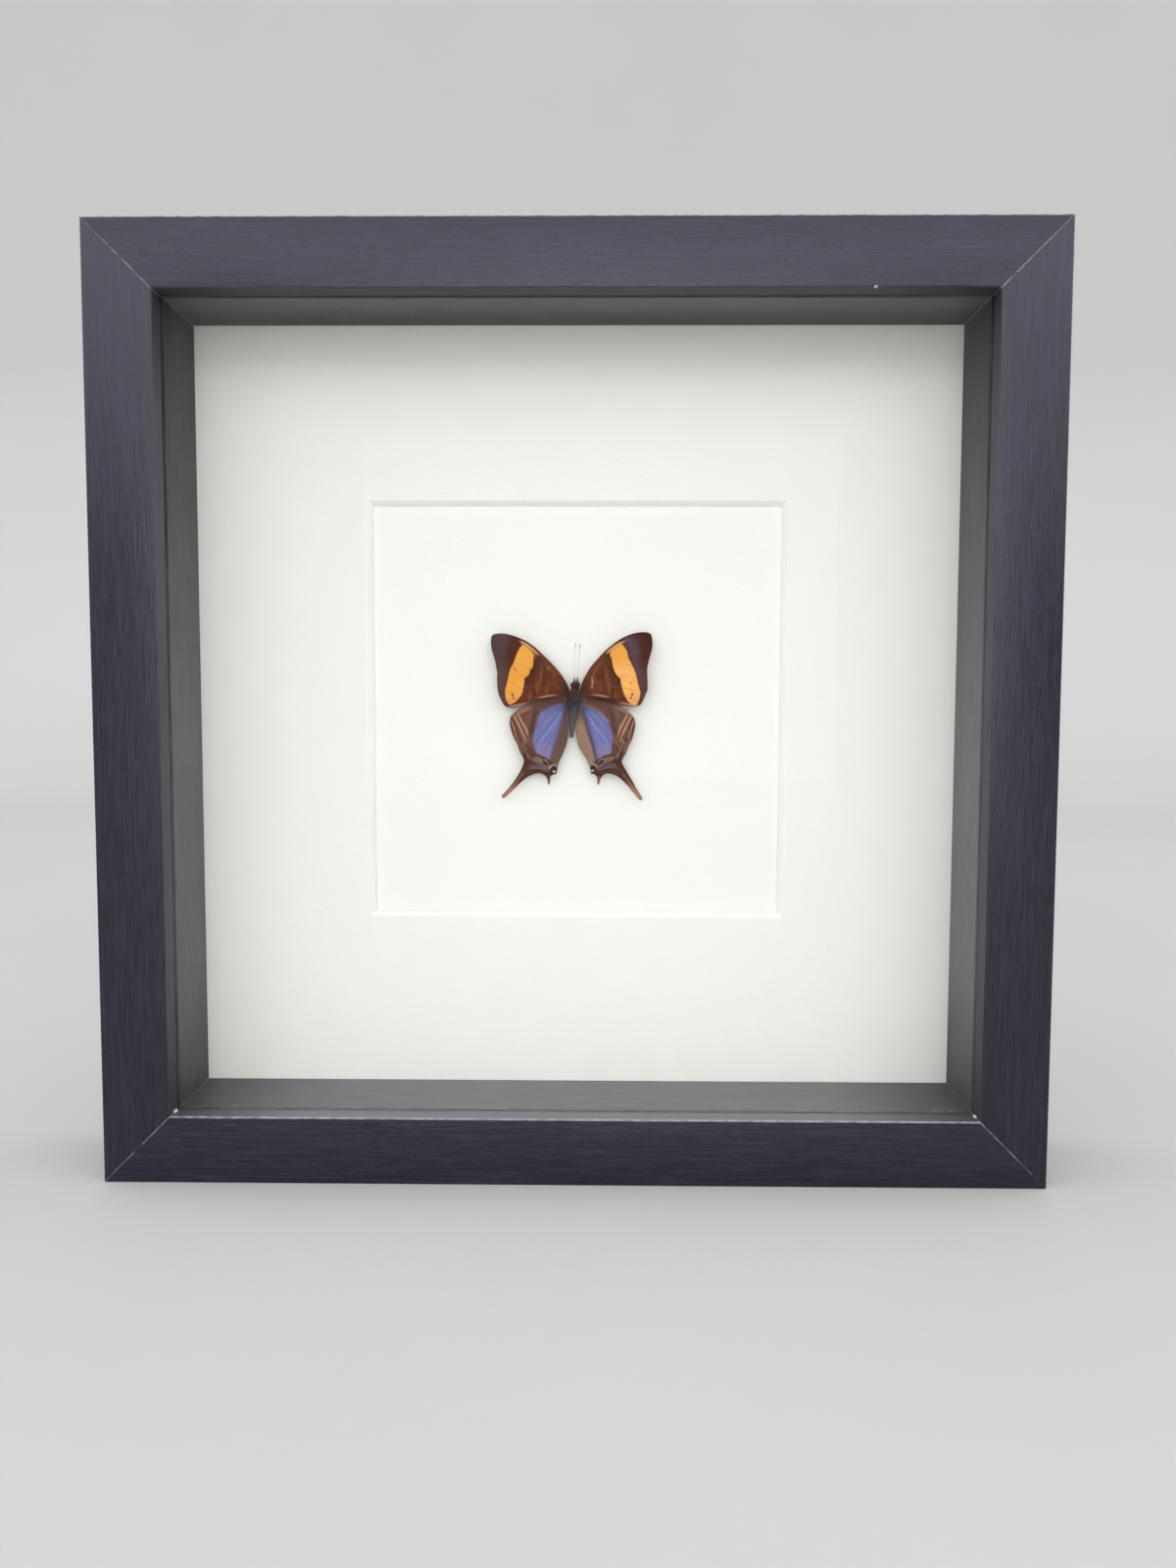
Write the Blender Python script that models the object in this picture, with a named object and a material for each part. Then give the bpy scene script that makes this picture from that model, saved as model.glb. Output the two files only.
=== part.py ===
"""Framed butterfly specimen: a deep square box frame with a spread butterfly behind its glass.

Metres, +Z up. The frame stands on its bottom rail with the glass facing -Y. The origin is at the
middle of the footprint, on the surface that the frame stands on.
"""

import bmesh
import bpy
from math import cos, pi, sin
from mathutils import Vector

MM = 0.001
GAP = 0.3 * MM  # clearance between pieces that touch

# Box frame
SIDE = 275 * MM  # outer width and height
DEPTH = 45 * MM
FACE_WIDTH = 19.8 * MM  # rail width seen from the front
LIP = 6.8 * MM  # thickness of the lip in front of the glass
WALL = 12 * MM  # rail thickness behind the lip
EDGE_ROUND = 0.6 * MM
OPENING_HALF = SIDE / 2 - FACE_WIDTH
CAVITY_HALF = SIDE / 2 - WALL
SHEET_SLACK = 0.4 * MM  # sheets are this much smaller than the cavity on each side
SHEET_HALF = CAVITY_HALF - SHEET_SLACK

# Sheets and strips from the lip to the back
GLASS = 2.0 * MM
SPACER_DEPTH = 27.7 * MM
MAT = 1.4 * MM
BOARD = 1.2 * MM
PANEL = 2.0 * MM
MAT_WINDOW = 130 * MM  # at the front face, the bevel narrows it to the back

# Flexible tabs that hold the back panel
TAB_LENGTH = 16 * MM
TAB_WIDTH = 9 * MM
TAB_THICK = 0.5 * MM
TAB_IN_RAIL = 6 * MM
TAB_OFFSET = 70 * MM  # from the middle of a rail

# Sawtooth hanger in the back of the top rail
HANGER_LENGTH = 46 * MM
HANGER_WIDTH = 8 * MM
HANGER_THICK = 0.8 * MM
HANGER_TEETH = 7
TOOTH_PITCH = 3 * MM
TOOTH_DEPTH = 1.6 * MM
POCKET_LENGTH = 50 * MM
POCKET_DEPTH = 2.2 * MM
POCKET_FROM_TOP = 2.6 * MM
NAIL_OFFSET = 18 * MM
NAIL_SHANK = 0.6 * MM
NAIL_HEAD = 1.3 * MM
NAIL_HEAD_THICK = 0.5 * MM
NAIL_LENGTH = 6 * MM
NAIL_FROM_EDGE = 1.2 * MM

# Depths behind the frame's front face
GLASS_FRONT = LIP + GAP
SPACER_FRONT = GLASS_FRONT + GLASS + GAP
MAT_FRONT = SPACER_FRONT + SPACER_DEPTH + GAP
BOARD_FRONT = MAT_FRONT + MAT + GAP
PANEL_FRONT = BOARD_FRONT + BOARD + GAP
TAB_FRONT = PANEL_FRONT + PANEL + GAP

# Butterfly, in millimetres from the middle of its thorax: x to the right, z up
THORAX_X = -1.0 * MM
THORAX_Z = 142.0 * MM
BODY_LEAN = 0.075  # the body's axis moves this far right for each unit up
BODY_SHIFT = 0.3  # from the origin to the axis at the thorax
WING_THICK = 0.4
FOREWING_ROOT = 4.2  # height of the wing's middle plane over the specimen board
FOREWING_RISE = 0.05  # how much a wing rises for each unit outwards
HINDWING_ROOT = 3.35
HINDWING_RISE = 0.02

# Body stations from head to tail: place along the axis, half width, half height, middle height
BODY_STATIONS = [
    (5.0, 0.3, 0.3, 2.9), (4.7, 0.85, 0.8, 2.9), (4.2, 1.15, 1.1, 2.9), (3.6, 1.25, 1.25, 2.9),
    (3.0, 1.15, 1.15, 2.8), (2.5, 0.85, 0.95, 2.8), (2.1, 1.2, 1.4, 2.8), (1.4, 1.75, 2.1, 2.8),
    (0.4, 2.0, 2.45, 2.8), (-0.8, 2.0, 2.45, 2.8), (-1.8, 1.75, 2.1, 2.7), (-2.5, 1.3, 1.6, 2.5),
    (-3.3, 1.25, 1.5, 2.4), (-4.5, 1.35, 1.55, 2.3), (-6.5, 1.2, 1.4, 2.15), (-8.5, 1.0, 1.2, 2.0),
    (-10.5, 0.7, 0.85, 1.8), (-12.0, 0.35, 0.45, 1.65), (-12.6, 0.12, 0.15, 1.6),
]
BODY_SIDES = 18
EYE_RADIUS = 0.62

# Outlines run from the wing's root along its front edge, then round and back to the root
FOREWING_LEFT = [
    (-1.25, 2.3), (-2.2, 4.4), (-3.4, 6.3), (-5.7, 9.2), (-8.9, 12.5), (-11.8, 15.2), (-14.9, 17.3),
    (-17.9, 18.6), (-21.0, 19.4), (-23.6, 19.5), (-25.1, 18.8), (-25.5, 17.3), (-25.4, 15.1),
    (-24.8, 12.9), (-24.1, 10.6), (-24.0, 9.3), (-23.5, 7.2), (-23.7, 5.6), (-23.5, 3.2),
    (-23.2, 0.8), (-22.2, -1.3), (-21.2, -2.9), (-19.4, -3.5), (-16.8, -3.1), (-14.3, -2.2),
    (-11.6, -1.0), (-8.4, -0.5), (-5.4, 0.0), (-1.85, -0.3), (-1.8, 0.4), (-1.5, 1.4),
]
FOREWING_RIGHT = [
    (2.0, 2.3), (2.7, 4.4), (3.6, 6.3), (5.2, 9.0), (7.9, 12.2), (11.2, 15.5), (14.9, 18.1),
    (18.5, 19.6), (22.0, 20.0), (23.7, 19.5), (24.3, 18.0), (24.4, 15.6), (23.9, 13.3), (23.2, 10.9),
    (22.8, 8.3), (22.9, 6.0), (23.0, 2.4), (22.4, 1.0), (21.7, -0.8), (20.6, -2.5), (18.3, -2.9),
    (15.3, -2.6), (12.4, -1.8), (9.0, -0.9), (5.4, -0.1), (2.5, -0.3), (2.45, 0.4), (2.25, 1.4),
]
HINDWING_LEFT = [
    (-2.15, -0.9), (-5.0, 0.1), (-9.0, -0.3), (-12.5, -1.4), (-15.1, -2.7), (-17.4, -4.1),
    (-19.4, -6.1), (-19.9, -8.2), (-19.4, -10.6), (-18.4, -13.3), (-17.5, -14.8), (-16.9, -16.9),
    (-15.9, -18.5), (-15.5, -20.2), (-16.2, -22.4), (-17.9, -25.4), (-20.0, -28.3), (-22.1, -30.6),
    (-22.5, -31.3), (-21.6, -31.5), (-19.9, -30.1), (-17.5, -27.8), (-15.0, -25.5), (-12.7, -24.3),
    (-10.7, -23.9), (-9.2, -24.4), (-8.3, -25.3), (-8.0, -26.7), (-7.6, -27.6), (-7.3, -26.6),
    (-7.2, -25.0), (-6.5, -24.4), (-5.3, -24.0), (-5.0, -22.4), (-4.5, -20.3), (-3.3, -17.7),
    (-2.3, -15.0), (-1.7, -12.2), (-1.5, -9.5), (-1.45, -6.5), (-1.55, -4.5), (-1.5, -2.8),
    (-1.95, -1.8),
]
HINDWING_RIGHT = [
    (2.65, -0.9), (5.0, 0.1), (8.6, -0.3), (11.6, -1.4), (14.0, -2.6), (16.3, -4.0), (18.5, -6.0),
    (19.3, -7.9), (19.1, -10.0), (18.3, -13.0), (17.3, -15.1), (16.5, -17.3), (15.6, -18.9),
    (15.2, -20.3), (16.3, -22.5), (18.0, -25.5), (20.0, -28.9), (21.5, -31.4), (21.3, -32.1),
    (20.5, -31.9), (18.6, -29.6), (16.0, -26.6), (13.7, -24.7), (11.3, -23.9), (9.6, -24.2),
    (8.6, -25.4), (8.1, -26.9), (7.8, -27.6), (7.5, -26.6), (7.4, -25.0), (6.5, -24.2),
    (5.5, -23.8), (5.2, -22.2), (4.4, -20.0), (2.9, -17.6), (1.6, -15.2), (1.0, -12.4),
    (0.95, -9.5), (1.05, -6.5), (1.45, -4.5), (1.65, -2.8), (2.3, -1.8),
]

# Antennae from the head to the club: x, z and height over the board
ANTENNA_LEFT = [(0.25, 5.2, 4.0), (0.2, 7.5, 4.5), (0.25, 11.0, 4.8), (0.4, 14.2, 4.8), (0.8, 16.7, 4.7)]
ANTENNA_RIGHT = [(1.0, 5.2, 4.0), (1.3, 7.5, 4.5), (1.7, 10.5, 4.8), (1.85, 13.6, 4.8), (2.0, 16.3, 4.7)]
STALK_RADIUS = 0.11
CLUB_RADIUS = 0.26
CLUB_LENGTH = 1.8
PALP = [(0.42, 4.4, 2.75), (0.5, 5.3, 2.9), (0.4, 6.1, 3.2)]
PALP_RADII = (0.34, 0.3, 0.12)

# Tucked legs: how far from the body's axis, place along it, height over the board
LEGS = [
    [(0.7, 1.5, 1.2), (1.0, 2.5, 1.0), (0.8, 3.6, 0.9)],
    [(1.1, -0.4, 1.4), (2.7, -2.0, 1.7), (2.4, -4.8, 0.9), (2.1, -6.8, 0.55)],
    [(1.0, -1.2, 1.3), (2.3, -3.4, 1.7), (1.9, -7.0, 0.9), (1.7, -9.4, 0.55)],
]
LEG_RADII = (0.3, 0.22, 0.16, 0.12)

# Part colours as linear RGB, with roughness and metallic
FINISHES = {
    "rail_foil": ((0.055, 0.053, 0.068), 0.5, 0.0),
    "clear_glass": ((0.95, 0.97, 0.97), 0.02, 0.0),
    "spacer_grey": ((0.12, 0.12, 0.13), 0.7, 0.0),
    "mat_white": ((0.87, 0.87, 0.84), 0.85, 0.0),
    "board_white": ((0.9, 0.9, 0.88), 0.85, 0.0),
    "hardboard": ((0.28, 0.16, 0.08), 0.75, 0.0),
    "steel": ((0.55, 0.55, 0.54), 0.35, 1.0),
    "body_brown": ((0.035, 0.018, 0.014), 0.8, 0.0),
    "forewing_orange_brown": ((0.22, 0.09, 0.03), 0.6, 0.0),
    "hindwing_violet_brown": ((0.13, 0.1, 0.2), 0.55, 0.0),
    "antenna_grey": ((0.2, 0.18, 0.17), 0.7, 0.0),
}


def clear_scene():
    for item in list(bpy.data.objects):
        bpy.data.objects.remove(item, do_unlink=True)


def make_material(name):
    colour, roughness, metallic = FINISHES[name]
    material = bpy.data.materials.new(name)
    material.use_nodes = True
    shader = material.node_tree.nodes["Principled BSDF"]
    shader.inputs["Base Color"].default_value = (*colour, 1.0)
    shader.inputs["Roughness"].default_value = roughness
    shader.inputs["Metallic"].default_value = metallic
    material.diffuse_color = (*colour, 1.0)
    return material


def finish(name):
    return bpy.data.materials.get(name) or make_material(name)


def add_object(name, mesh, material_name):
    item = bpy.data.objects.new(name, mesh)
    bpy.context.scene.collection.objects.link(item)
    if material_name:
        mesh.materials.append(finish(material_name))
    return item


def mesh_from(name, points, faces):
    """A mesh whose faces are turned outwards."""
    mesh = bpy.data.meshes.new(name)
    mesh.from_pydata([tuple(p) for p in points], [], faces)
    bm = bmesh.new()
    bm.from_mesh(mesh)
    bmesh.ops.recalc_face_normals(bm, faces=bm.faces)
    bm.to_mesh(mesh)
    bm.free()
    return mesh


def loft(name, rings):
    """A closed skin over rings that all have the same number of points."""
    count = len(rings[0])
    points = [p for ring in rings for p in ring]
    faces = [tuple(range(count)), tuple(range(len(points) - count, len(points)))]
    for i in range(len(rings) - 1):
        for j in range(count):
            k = (j + 1) % count
            a, b = i * count, (i + 1) * count
            faces.append((a + j, a + k, b + k, b + j))
    return mesh_from(name, points, faces)


def slab(name, half_x, z_low, z_high, front, thickness):
    """A flat sheet that stands in the frame, front measured behind the frame's face."""
    y0 = front - DEPTH / 2
    corners = ((-half_x, z_low), (half_x, z_low), (half_x, z_high), (-half_x, z_high))
    return loft(name, [[Vector((x, y, z)) for x, z in corners] for y in (y0, y0 + thickness)])


def box_cutter(name, low, high):
    """A block that only cuts other pieces."""
    corners = ((low[0], low[1]), (high[0], low[1]), (high[0], high[1]), (low[0], high[1]))
    rings = [[Vector((x, y, z)) for x, y in corners] for z in (low[2], high[2])]
    return as_cutter(add_object(name, loft(name, rings), None))


def as_cutter(item):
    item.hide_render = True
    item.display_type = "WIRE"
    return item


def combine(item, other, operation):
    change = item.modifiers.new(operation.lower() + "_" + other.name, "BOOLEAN")
    change.operation = operation
    change.solver = "EXACT"
    change.object = other


def quarter_round(centre, radius, start, steps=3):
    """Points of a quarter circle in the rail's section, from the angle start on."""
    turns = [start + pi / 2 * i / steps for i in range(steps + 1)]
    return [(centre[0] + radius * cos(t), centre[1] + radius * sin(t)) for t in turns]


def rail_section():
    """The rail's L-shaped section as (inwards from the outer edge, back from the face)."""
    r = EDGE_ROUND
    outer_front = quarter_round((r, r), r, pi)
    inner_front = quarter_round((FACE_WIDTH - r, r), r, 1.5 * pi)
    return outer_front + inner_front + [(FACE_WIDTH, LIP), (WALL, LIP), (WALL, DEPTH), (0.0, DEPTH)]


def spacer_section():
    """The strip's section in the same measures, from the rabbet's wall to the lip's edge."""
    outer, inner = WALL + GAP, FACE_WIDTH
    back = SPACER_FRONT + SPACER_DEPTH
    return [(outer, SPACER_FRONT), (inner, SPACER_FRONT), (inner, back), (outer, back)]


def mitred_strip(name, section, material_name, turn):
    """One side of the square: the bottom one for turn 0, then on anticlockwise from the front."""
    pull = GAP / 2 * 2 ** 0.5  # keeps the mitred ends a gap apart
    rings = []
    for end in (-1, 1):
        rings.append([
            Vector((end * (SIDE / 2 - across - pull), back - DEPTH / 2, across - SIDE / 2))
            for across, back in section
        ])
    strip = add_object(name, loft(name, rings), material_name)
    strip.location = (0, 0, SIDE / 2)
    strip.rotation_euler = (0, -turn * pi / 2, 0)
    return strip


def place_on_side(item, turn):
    item.location = (0, 0, SIDE / 2)
    item.rotation_euler = (0, -turn * pi / 2, 0)
    return item


def make_tab(name, rail, offset, turn):
    """A flexible tab over the back panel, with its outer end in a slot of the rail."""
    wall_z = WALL - SIDE / 2
    low_z, high_z = wall_z - TAB_IN_RAIL, wall_z - TAB_IN_RAIL + TAB_LENGTH
    y0 = TAB_FRONT - DEPTH / 2
    corners = [
        (offset - TAB_WIDTH / 2, low_z), (offset + TAB_WIDTH / 2, low_z),
        (offset + TAB_WIDTH / 2, high_z - TAB_WIDTH / 3), (offset + TAB_WIDTH / 4, high_z),
        (offset - TAB_WIDTH / 4, high_z), (offset - TAB_WIDTH / 2, high_z - TAB_WIDTH / 3),
    ]
    rings = [[Vector((x, y, z)) for x, z in corners] for y in (y0, y0 + TAB_THICK)]
    place_on_side(add_object(name, loft(name, rings), "steel"), turn)
    slot = box_cutter(
        name + "_slot",
        (offset - TAB_WIDTH / 2 - GAP, y0 - GAP, low_z - GAP),
        (offset + TAB_WIDTH / 2 + GAP, y0 + TAB_THICK + GAP, wall_z + MM),
    )
    combine(rail, place_on_side(slot, turn), "DIFFERENCE")


def tooth_outline():
    """The hanger's outline as (x, down from the frame's top), with teeth along its lower edge."""
    half, top = HANGER_LENGTH / 2, POCKET_FROM_TOP + GAP
    low = top + HANGER_WIDTH
    first = -HANGER_TEETH * TOOTH_PITCH / 2
    points = [(-half, top), (half, top), (half, low - TOOTH_DEPTH), (-first, low - TOOTH_DEPTH)]
    for i in reversed(range(HANGER_TEETH)):
        x = first + i * TOOTH_PITCH
        points.append((x + TOOTH_PITCH / 2, low))
        points.append((x, low - TOOTH_DEPTH))
    points.append((-half, low - TOOTH_DEPTH))
    return points


def turned(name, x, z, profile, sides=12):
    """A round shape along Y, from (radius, y) pairs."""
    turns = [2 * pi * i / sides for i in range(sides)]
    rings = [[Vector((x + r * cos(t), y, z + r * sin(t))) for t in turns] for r, y in profile]
    return loft(name, rings)


def make_hanger(rail):
    """The sawtooth plate lies in a pocket, so the frame's back stays flat against a wall."""
    back = DEPTH / 2
    plate_front = back - POCKET_DEPTH + GAP
    pocket = box_cutter(
        "hanger_pocket",
        (-POCKET_LENGTH / 2, back - POCKET_DEPTH, SIDE - WALL - MM),
        (POCKET_LENGTH / 2, back + MM, SIDE - POCKET_FROM_TOP),
    )
    combine(rail, pocket, "DIFFERENCE")
    outline = tooth_outline()
    faces = (plate_front, plate_front + HANGER_THICK)
    rings = [[Vector((x, y, SIDE - down)) for x, down in outline] for y in faces]
    plate = add_object("sawtooth_hanger", loft("sawtooth_hanger", rings), "steel")
    nail_z = SIDE - POCKET_FROM_TOP - GAP - NAIL_HEAD - NAIL_FROM_EDGE
    head_front = plate_front + HANGER_THICK + GAP
    hole = [(NAIL_SHANK + GAP, head_front - NAIL_LENGTH - GAP), (NAIL_SHANK + GAP, back)]
    for side_name, side in (("left", 1), ("right", -1)):
        x = side * NAIL_OFFSET
        make_nail("hanger_nail_" + side_name, x, nail_z, head_front)
        hole_name = "nail_hole_" + side_name
        cutter = as_cutter(add_object(hole_name, turned(hole_name, x, nail_z, hole), None))
        combine(plate, cutter, "DIFFERENCE")
        combine(rail, cutter, "DIFFERENCE")


def make_nail(name, x, z, head_front):
    """A flat-headed nail as one turned shape."""
    profile = [
        (NAIL_SHANK * 0.3, head_front - NAIL_LENGTH), (NAIL_SHANK, head_front - NAIL_LENGTH + MM),
        (NAIL_SHANK, head_front), (NAIL_HEAD, head_front), (NAIL_HEAD * 0.8, head_front + NAIL_HEAD_THICK),
    ]
    smooth(add_object(name, turned(name, x, z, profile), "steel"))


def smooth(item):
    item.data.shade_smooth()
    item.data.set_sharp_from_angle(angle=pi / 5)


def make_mat():
    """White board with a window whose 45 degree bevel shows its core."""
    y0 = MAT_FRONT - DEPTH / 2
    front_half = MAT_WINDOW / 2
    back_half = front_half - MAT
    middle = SIDE / 2
    loops = [(SHEET_HALF, y0), (front_half, y0), (back_half, y0 + MAT), (SHEET_HALF, y0 + MAT)]
    rings = []
    for half, y in loops:
        corners = ((-half, -half), (half, -half), (half, half), (-half, half))
        rings.append([Vector((x, y, middle + z)) for x, z in corners])
    points = [p for ring in rings for p in ring]
    faces = []
    for i in range(4):
        for j in range(4):
            a, b, k = i * 4, (i + 1) % 4 * 4, (j + 1) % 4
            faces.append((a + j, a + k, b + k, b + j))
    add_object("mat_board", mesh_from("mat_board", points, faces), "mat_white")


def on_specimen(x, z, height):
    """A place on the butterfly from millimetres across, up and over the specimen board."""
    board_face = BOARD_FRONT - DEPTH / 2
    return Vector((THORAX_X + x * MM, board_face - height * MM, THORAX_Z + z * MM))


def on_body(aside, along, height):
    """A place beside the body's leaning axis."""
    return on_specimen(BODY_SHIFT + BODY_LEAN * along + aside, along, height)


def between(a, b, c, d, t):
    """A point of the smooth curve through b and c, with a and d as their neighbours."""
    return tuple(
        0.5 * (2 * q + (r - p) * t + (2 * p - 5 * q + 4 * r - s) * t * t + (3 * q - p - 3 * r + s) * t ** 3)
        for p, q, r, s in zip(a, b, c, d)
    )


def smooth_loop(points, steps):
    """A closed outline through the points, with steps spans for each."""
    count = len(points)
    out = []
    for i in range(count):
        around = [points[(i + k) % count] for k in (-1, 0, 1, 2)]
        out += [between(*around, t / steps) for t in range(steps)]
    return out


def smooth_path(points, steps):
    """An open path through the points."""
    ends = [points[0]] + points + [points[-1]]
    out = []
    for i in range(len(points) - 1):
        out += [between(*ends[i:i + 4], t / steps) for t in range(steps)]
    return out + [points[-1]]


def make_wing(name, outline, root_height, rise, material_name):
    """A thin wing that rises a little from its root to its tip."""
    loop = smooth_loop(outline, 2)
    rings = []
    for offset in (-WING_THICK / 2, WING_THICK / 2):
        rings.append([on_specimen(x, z, root_height + rise * abs(x) + offset) for x, z in loop])
    add_object(name, loft(name, rings), material_name)


def tube_rings(places, radii, sides):
    """Round rings across a path, each turned to the path's direction."""
    rings = []
    for i, place in enumerate(places):
        ahead = places[min(i + 1, len(places) - 1)] - places[max(i - 1, 0)]
        ahead.normalize()
        across = ahead.cross(Vector((0, 1, 0))).normalized()
        over = across.cross(ahead)
        turns = [2 * pi * j / sides for j in range(sides)]
        rings.append([place + radii[i] * (cos(t) * across + sin(t) * over) for t in turns])
    return rings


def tube(name, places, radii, sides=8):
    return loft(name, tube_rings(places, radii, sides))


def body_rings():
    rings = []
    for along, half_width, half_height, height in BODY_STATIONS:
        turns = [2 * pi * j / BODY_SIDES for j in range(BODY_SIDES)]
        rings.append([
            on_body(half_width * cos(t), along, height + half_height * sin(t)) for t in turns
        ])
    return rings


def join_to_body(body, name, mesh):
    """Grows a small shape into the body."""
    combine(body, as_cutter(add_object(name, mesh, None)), "UNION")


def make_eye(name, side):
    centre = on_body(side * 0.95, 3.7, 3.1)
    bm = bmesh.new()
    bmesh.ops.create_icosphere(bm, subdivisions=2, radius=EYE_RADIUS * MM)
    bmesh.ops.translate(bm, vec=centre, verts=bm.verts)
    mesh = bpy.data.meshes.new(name)
    bm.to_mesh(mesh)
    bm.free()
    return mesh


def make_body():
    """Head, thorax and abdomen in one skin, with eyes, palps and tucked legs grown into it."""
    body = add_object("butterfly_body", loft("butterfly_body", body_rings()), "body_brown")
    for side_name, side in (("left", -1), ("right", 1)):
        join_to_body(body, "eye_" + side_name, make_eye("eye_" + side_name, side))
        palp = [on_body(side * aside, along, height) for aside, along, height in PALP]
        join_to_body(body, "palp_" + side_name, tube("palp", palp, [r * MM for r in PALP_RADII]))
        for number, leg in enumerate(LEGS):
            places = [on_body(side * aside, along, height) for aside, along, height in leg]
            radii = [r * MM for r in LEG_RADII[:len(places)]]
            join_to_body(body, f"leg_{side_name}_{number}", tube("leg", places, radii, sides=6))
    smooth(body)


def make_antenna(name, points):
    """A hair-thin stalk that thickens to a club at its tip."""
    places = [on_specimen(*p) for p in smooth_path(points, 6)]
    to_tip = [0.0]
    for a, b in zip(reversed(places[:-1]), reversed(places[1:])):
        to_tip.append(to_tip[-1] + (b - a).length)
    radii = []
    for distance in reversed(to_tip):
        share = max(0.0, 1 - distance / (CLUB_LENGTH * MM))
        swell = sin(pi * min(share, 0.85)) ** 0.8 if share else 0.0
        radii.append((STALK_RADIUS + (CLUB_RADIUS - STALK_RADIUS) * swell) * MM)
    antenna = add_object(name, tube(name, places, radii, sides=6), "antenna_grey")
    smooth(antenna)


def make_frame():
    section = rail_section()
    rails = {
        side: mitred_strip("rail_" + side, section, "rail_foil", turn)
        for turn, side in enumerate(("bottom", "right", "top", "left"))
    }
    for turn, side in enumerate(("bottom", "right", "top", "left")):
        mitred_strip("spacer_" + side, spacer_section(), "spacer_grey", turn)
        for number, offset in ((1, -TAB_OFFSET), (2, TAB_OFFSET)):
            make_tab(f"tab_{side}_{number}", rails[side], offset, turn)
    make_hanger(rails["top"])


def make_sheets():
    low, high = SIDE / 2 - SHEET_HALF, SIDE / 2 + SHEET_HALF
    for name, front, thickness, material_name in (
        ("glass_pane", GLASS_FRONT, GLASS, "clear_glass"),
        ("specimen_board", BOARD_FRONT, BOARD, "board_white"),
        ("back_panel", PANEL_FRONT, PANEL, "hardboard"),
    ):
        add_object(name, slab(name, SHEET_HALF, low, high, front, thickness), material_name)
    make_mat()


def make_butterfly():
    make_body()
    make_wing("forewing_left", FOREWING_LEFT, FOREWING_ROOT, FOREWING_RISE, "forewing_orange_brown")
    make_wing("forewing_right", FOREWING_RIGHT, FOREWING_ROOT, FOREWING_RISE, "forewing_orange_brown")
    make_wing("hindwing_left", HINDWING_LEFT, HINDWING_ROOT, HINDWING_RISE, "hindwing_violet_brown")
    make_wing("hindwing_right", HINDWING_RIGHT, HINDWING_ROOT, HINDWING_RISE, "hindwing_violet_brown")
    make_antenna("antenna_left", ANTENNA_LEFT)
    make_antenna("antenna_right", ANTENNA_RIGHT)


def main():
    clear_scene()
    make_frame()
    make_sheets()
    make_butterfly()


main()
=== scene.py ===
# %% [markdown]
# # A butterfly in a deep box frame
#
# The object is a square black box frame, 275 mm on each side and 45 mm deep. Behind the glass, a
# white mat with a square window lies over a white board, and a spread butterfly floats in front of it.
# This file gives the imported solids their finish. It goes from the outside in: camera and light,
# rails, strips, mat and glass, the back with its tabs and hanger, then the butterfly, and last the
# filler and the crumbs that the years left.
#
# The solids are a fixed frame. Every size below is read from them, so nothing has to be fitted later.

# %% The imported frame
from math import cos, pi, radians, sin

import bmesh
import bpy
import numpy as np
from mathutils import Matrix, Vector, geometry


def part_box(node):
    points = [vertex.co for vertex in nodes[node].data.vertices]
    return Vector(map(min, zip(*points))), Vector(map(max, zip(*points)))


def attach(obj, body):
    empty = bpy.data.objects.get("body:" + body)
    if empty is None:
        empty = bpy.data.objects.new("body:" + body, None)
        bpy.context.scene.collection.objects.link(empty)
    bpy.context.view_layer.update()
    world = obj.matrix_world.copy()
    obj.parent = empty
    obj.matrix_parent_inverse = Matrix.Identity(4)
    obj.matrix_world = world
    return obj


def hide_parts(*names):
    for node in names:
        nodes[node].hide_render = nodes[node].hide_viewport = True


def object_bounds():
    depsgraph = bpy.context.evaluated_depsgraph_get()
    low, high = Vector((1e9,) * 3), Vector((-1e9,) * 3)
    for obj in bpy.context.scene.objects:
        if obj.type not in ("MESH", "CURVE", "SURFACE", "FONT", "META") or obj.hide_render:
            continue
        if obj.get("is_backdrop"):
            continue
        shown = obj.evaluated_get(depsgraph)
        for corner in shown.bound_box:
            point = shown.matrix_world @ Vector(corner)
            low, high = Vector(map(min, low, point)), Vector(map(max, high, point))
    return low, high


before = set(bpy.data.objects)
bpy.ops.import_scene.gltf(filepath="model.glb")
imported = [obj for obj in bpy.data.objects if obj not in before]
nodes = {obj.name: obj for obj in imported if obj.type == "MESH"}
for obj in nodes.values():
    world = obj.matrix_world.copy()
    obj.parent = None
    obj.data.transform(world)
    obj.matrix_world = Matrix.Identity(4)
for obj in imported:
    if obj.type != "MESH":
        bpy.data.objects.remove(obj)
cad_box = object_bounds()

MM = 0.001
print(len(nodes), "solids, box", [round(float(v), 4) for corner in cad_box for v in corner])

# %% [markdown]
# ## Camera
#
# The photograph was taken close up with a wide lens, a little above the middle of the frame and
# looking slightly down. That is why the inner walls show all round and the frame narrows towards
# its foot. The camera repeats that: where it stands, how it is turned and how wide it sees come
# from the eight corners of the rails and the corners of the mat's window.

# %% The camera
CAMERA_PLACE = (8.9 * MM, -389.2 * MM, 145.4 * MM)
CAMERA_TURN = (pi / 2 - 0.0758, -0.0025, 0.0134)  # pitched down, a trace of roll, a trace to the left
CAMERA_LENS = 29.65  # mm on a 36 mm sensor



def added(name, data):
    """A new object with that data, in the scene."""
    item = bpy.data.objects.new(name, data)
    bpy.context.scene.collection.objects.link(item)
    return item


view = bpy.data.cameras.new("view")
view.lens = CAMERA_LENS
view.clip_start = 10 * MM
camera = added("view", view)
camera.location = CAMERA_PLACE
camera.rotation_euler = CAMERA_TURN
bpy.context.scene.camera = camera
print("camera", round(-CAMERA_PLACE[1] / MM), "mm in front of the frame's middle")

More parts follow.
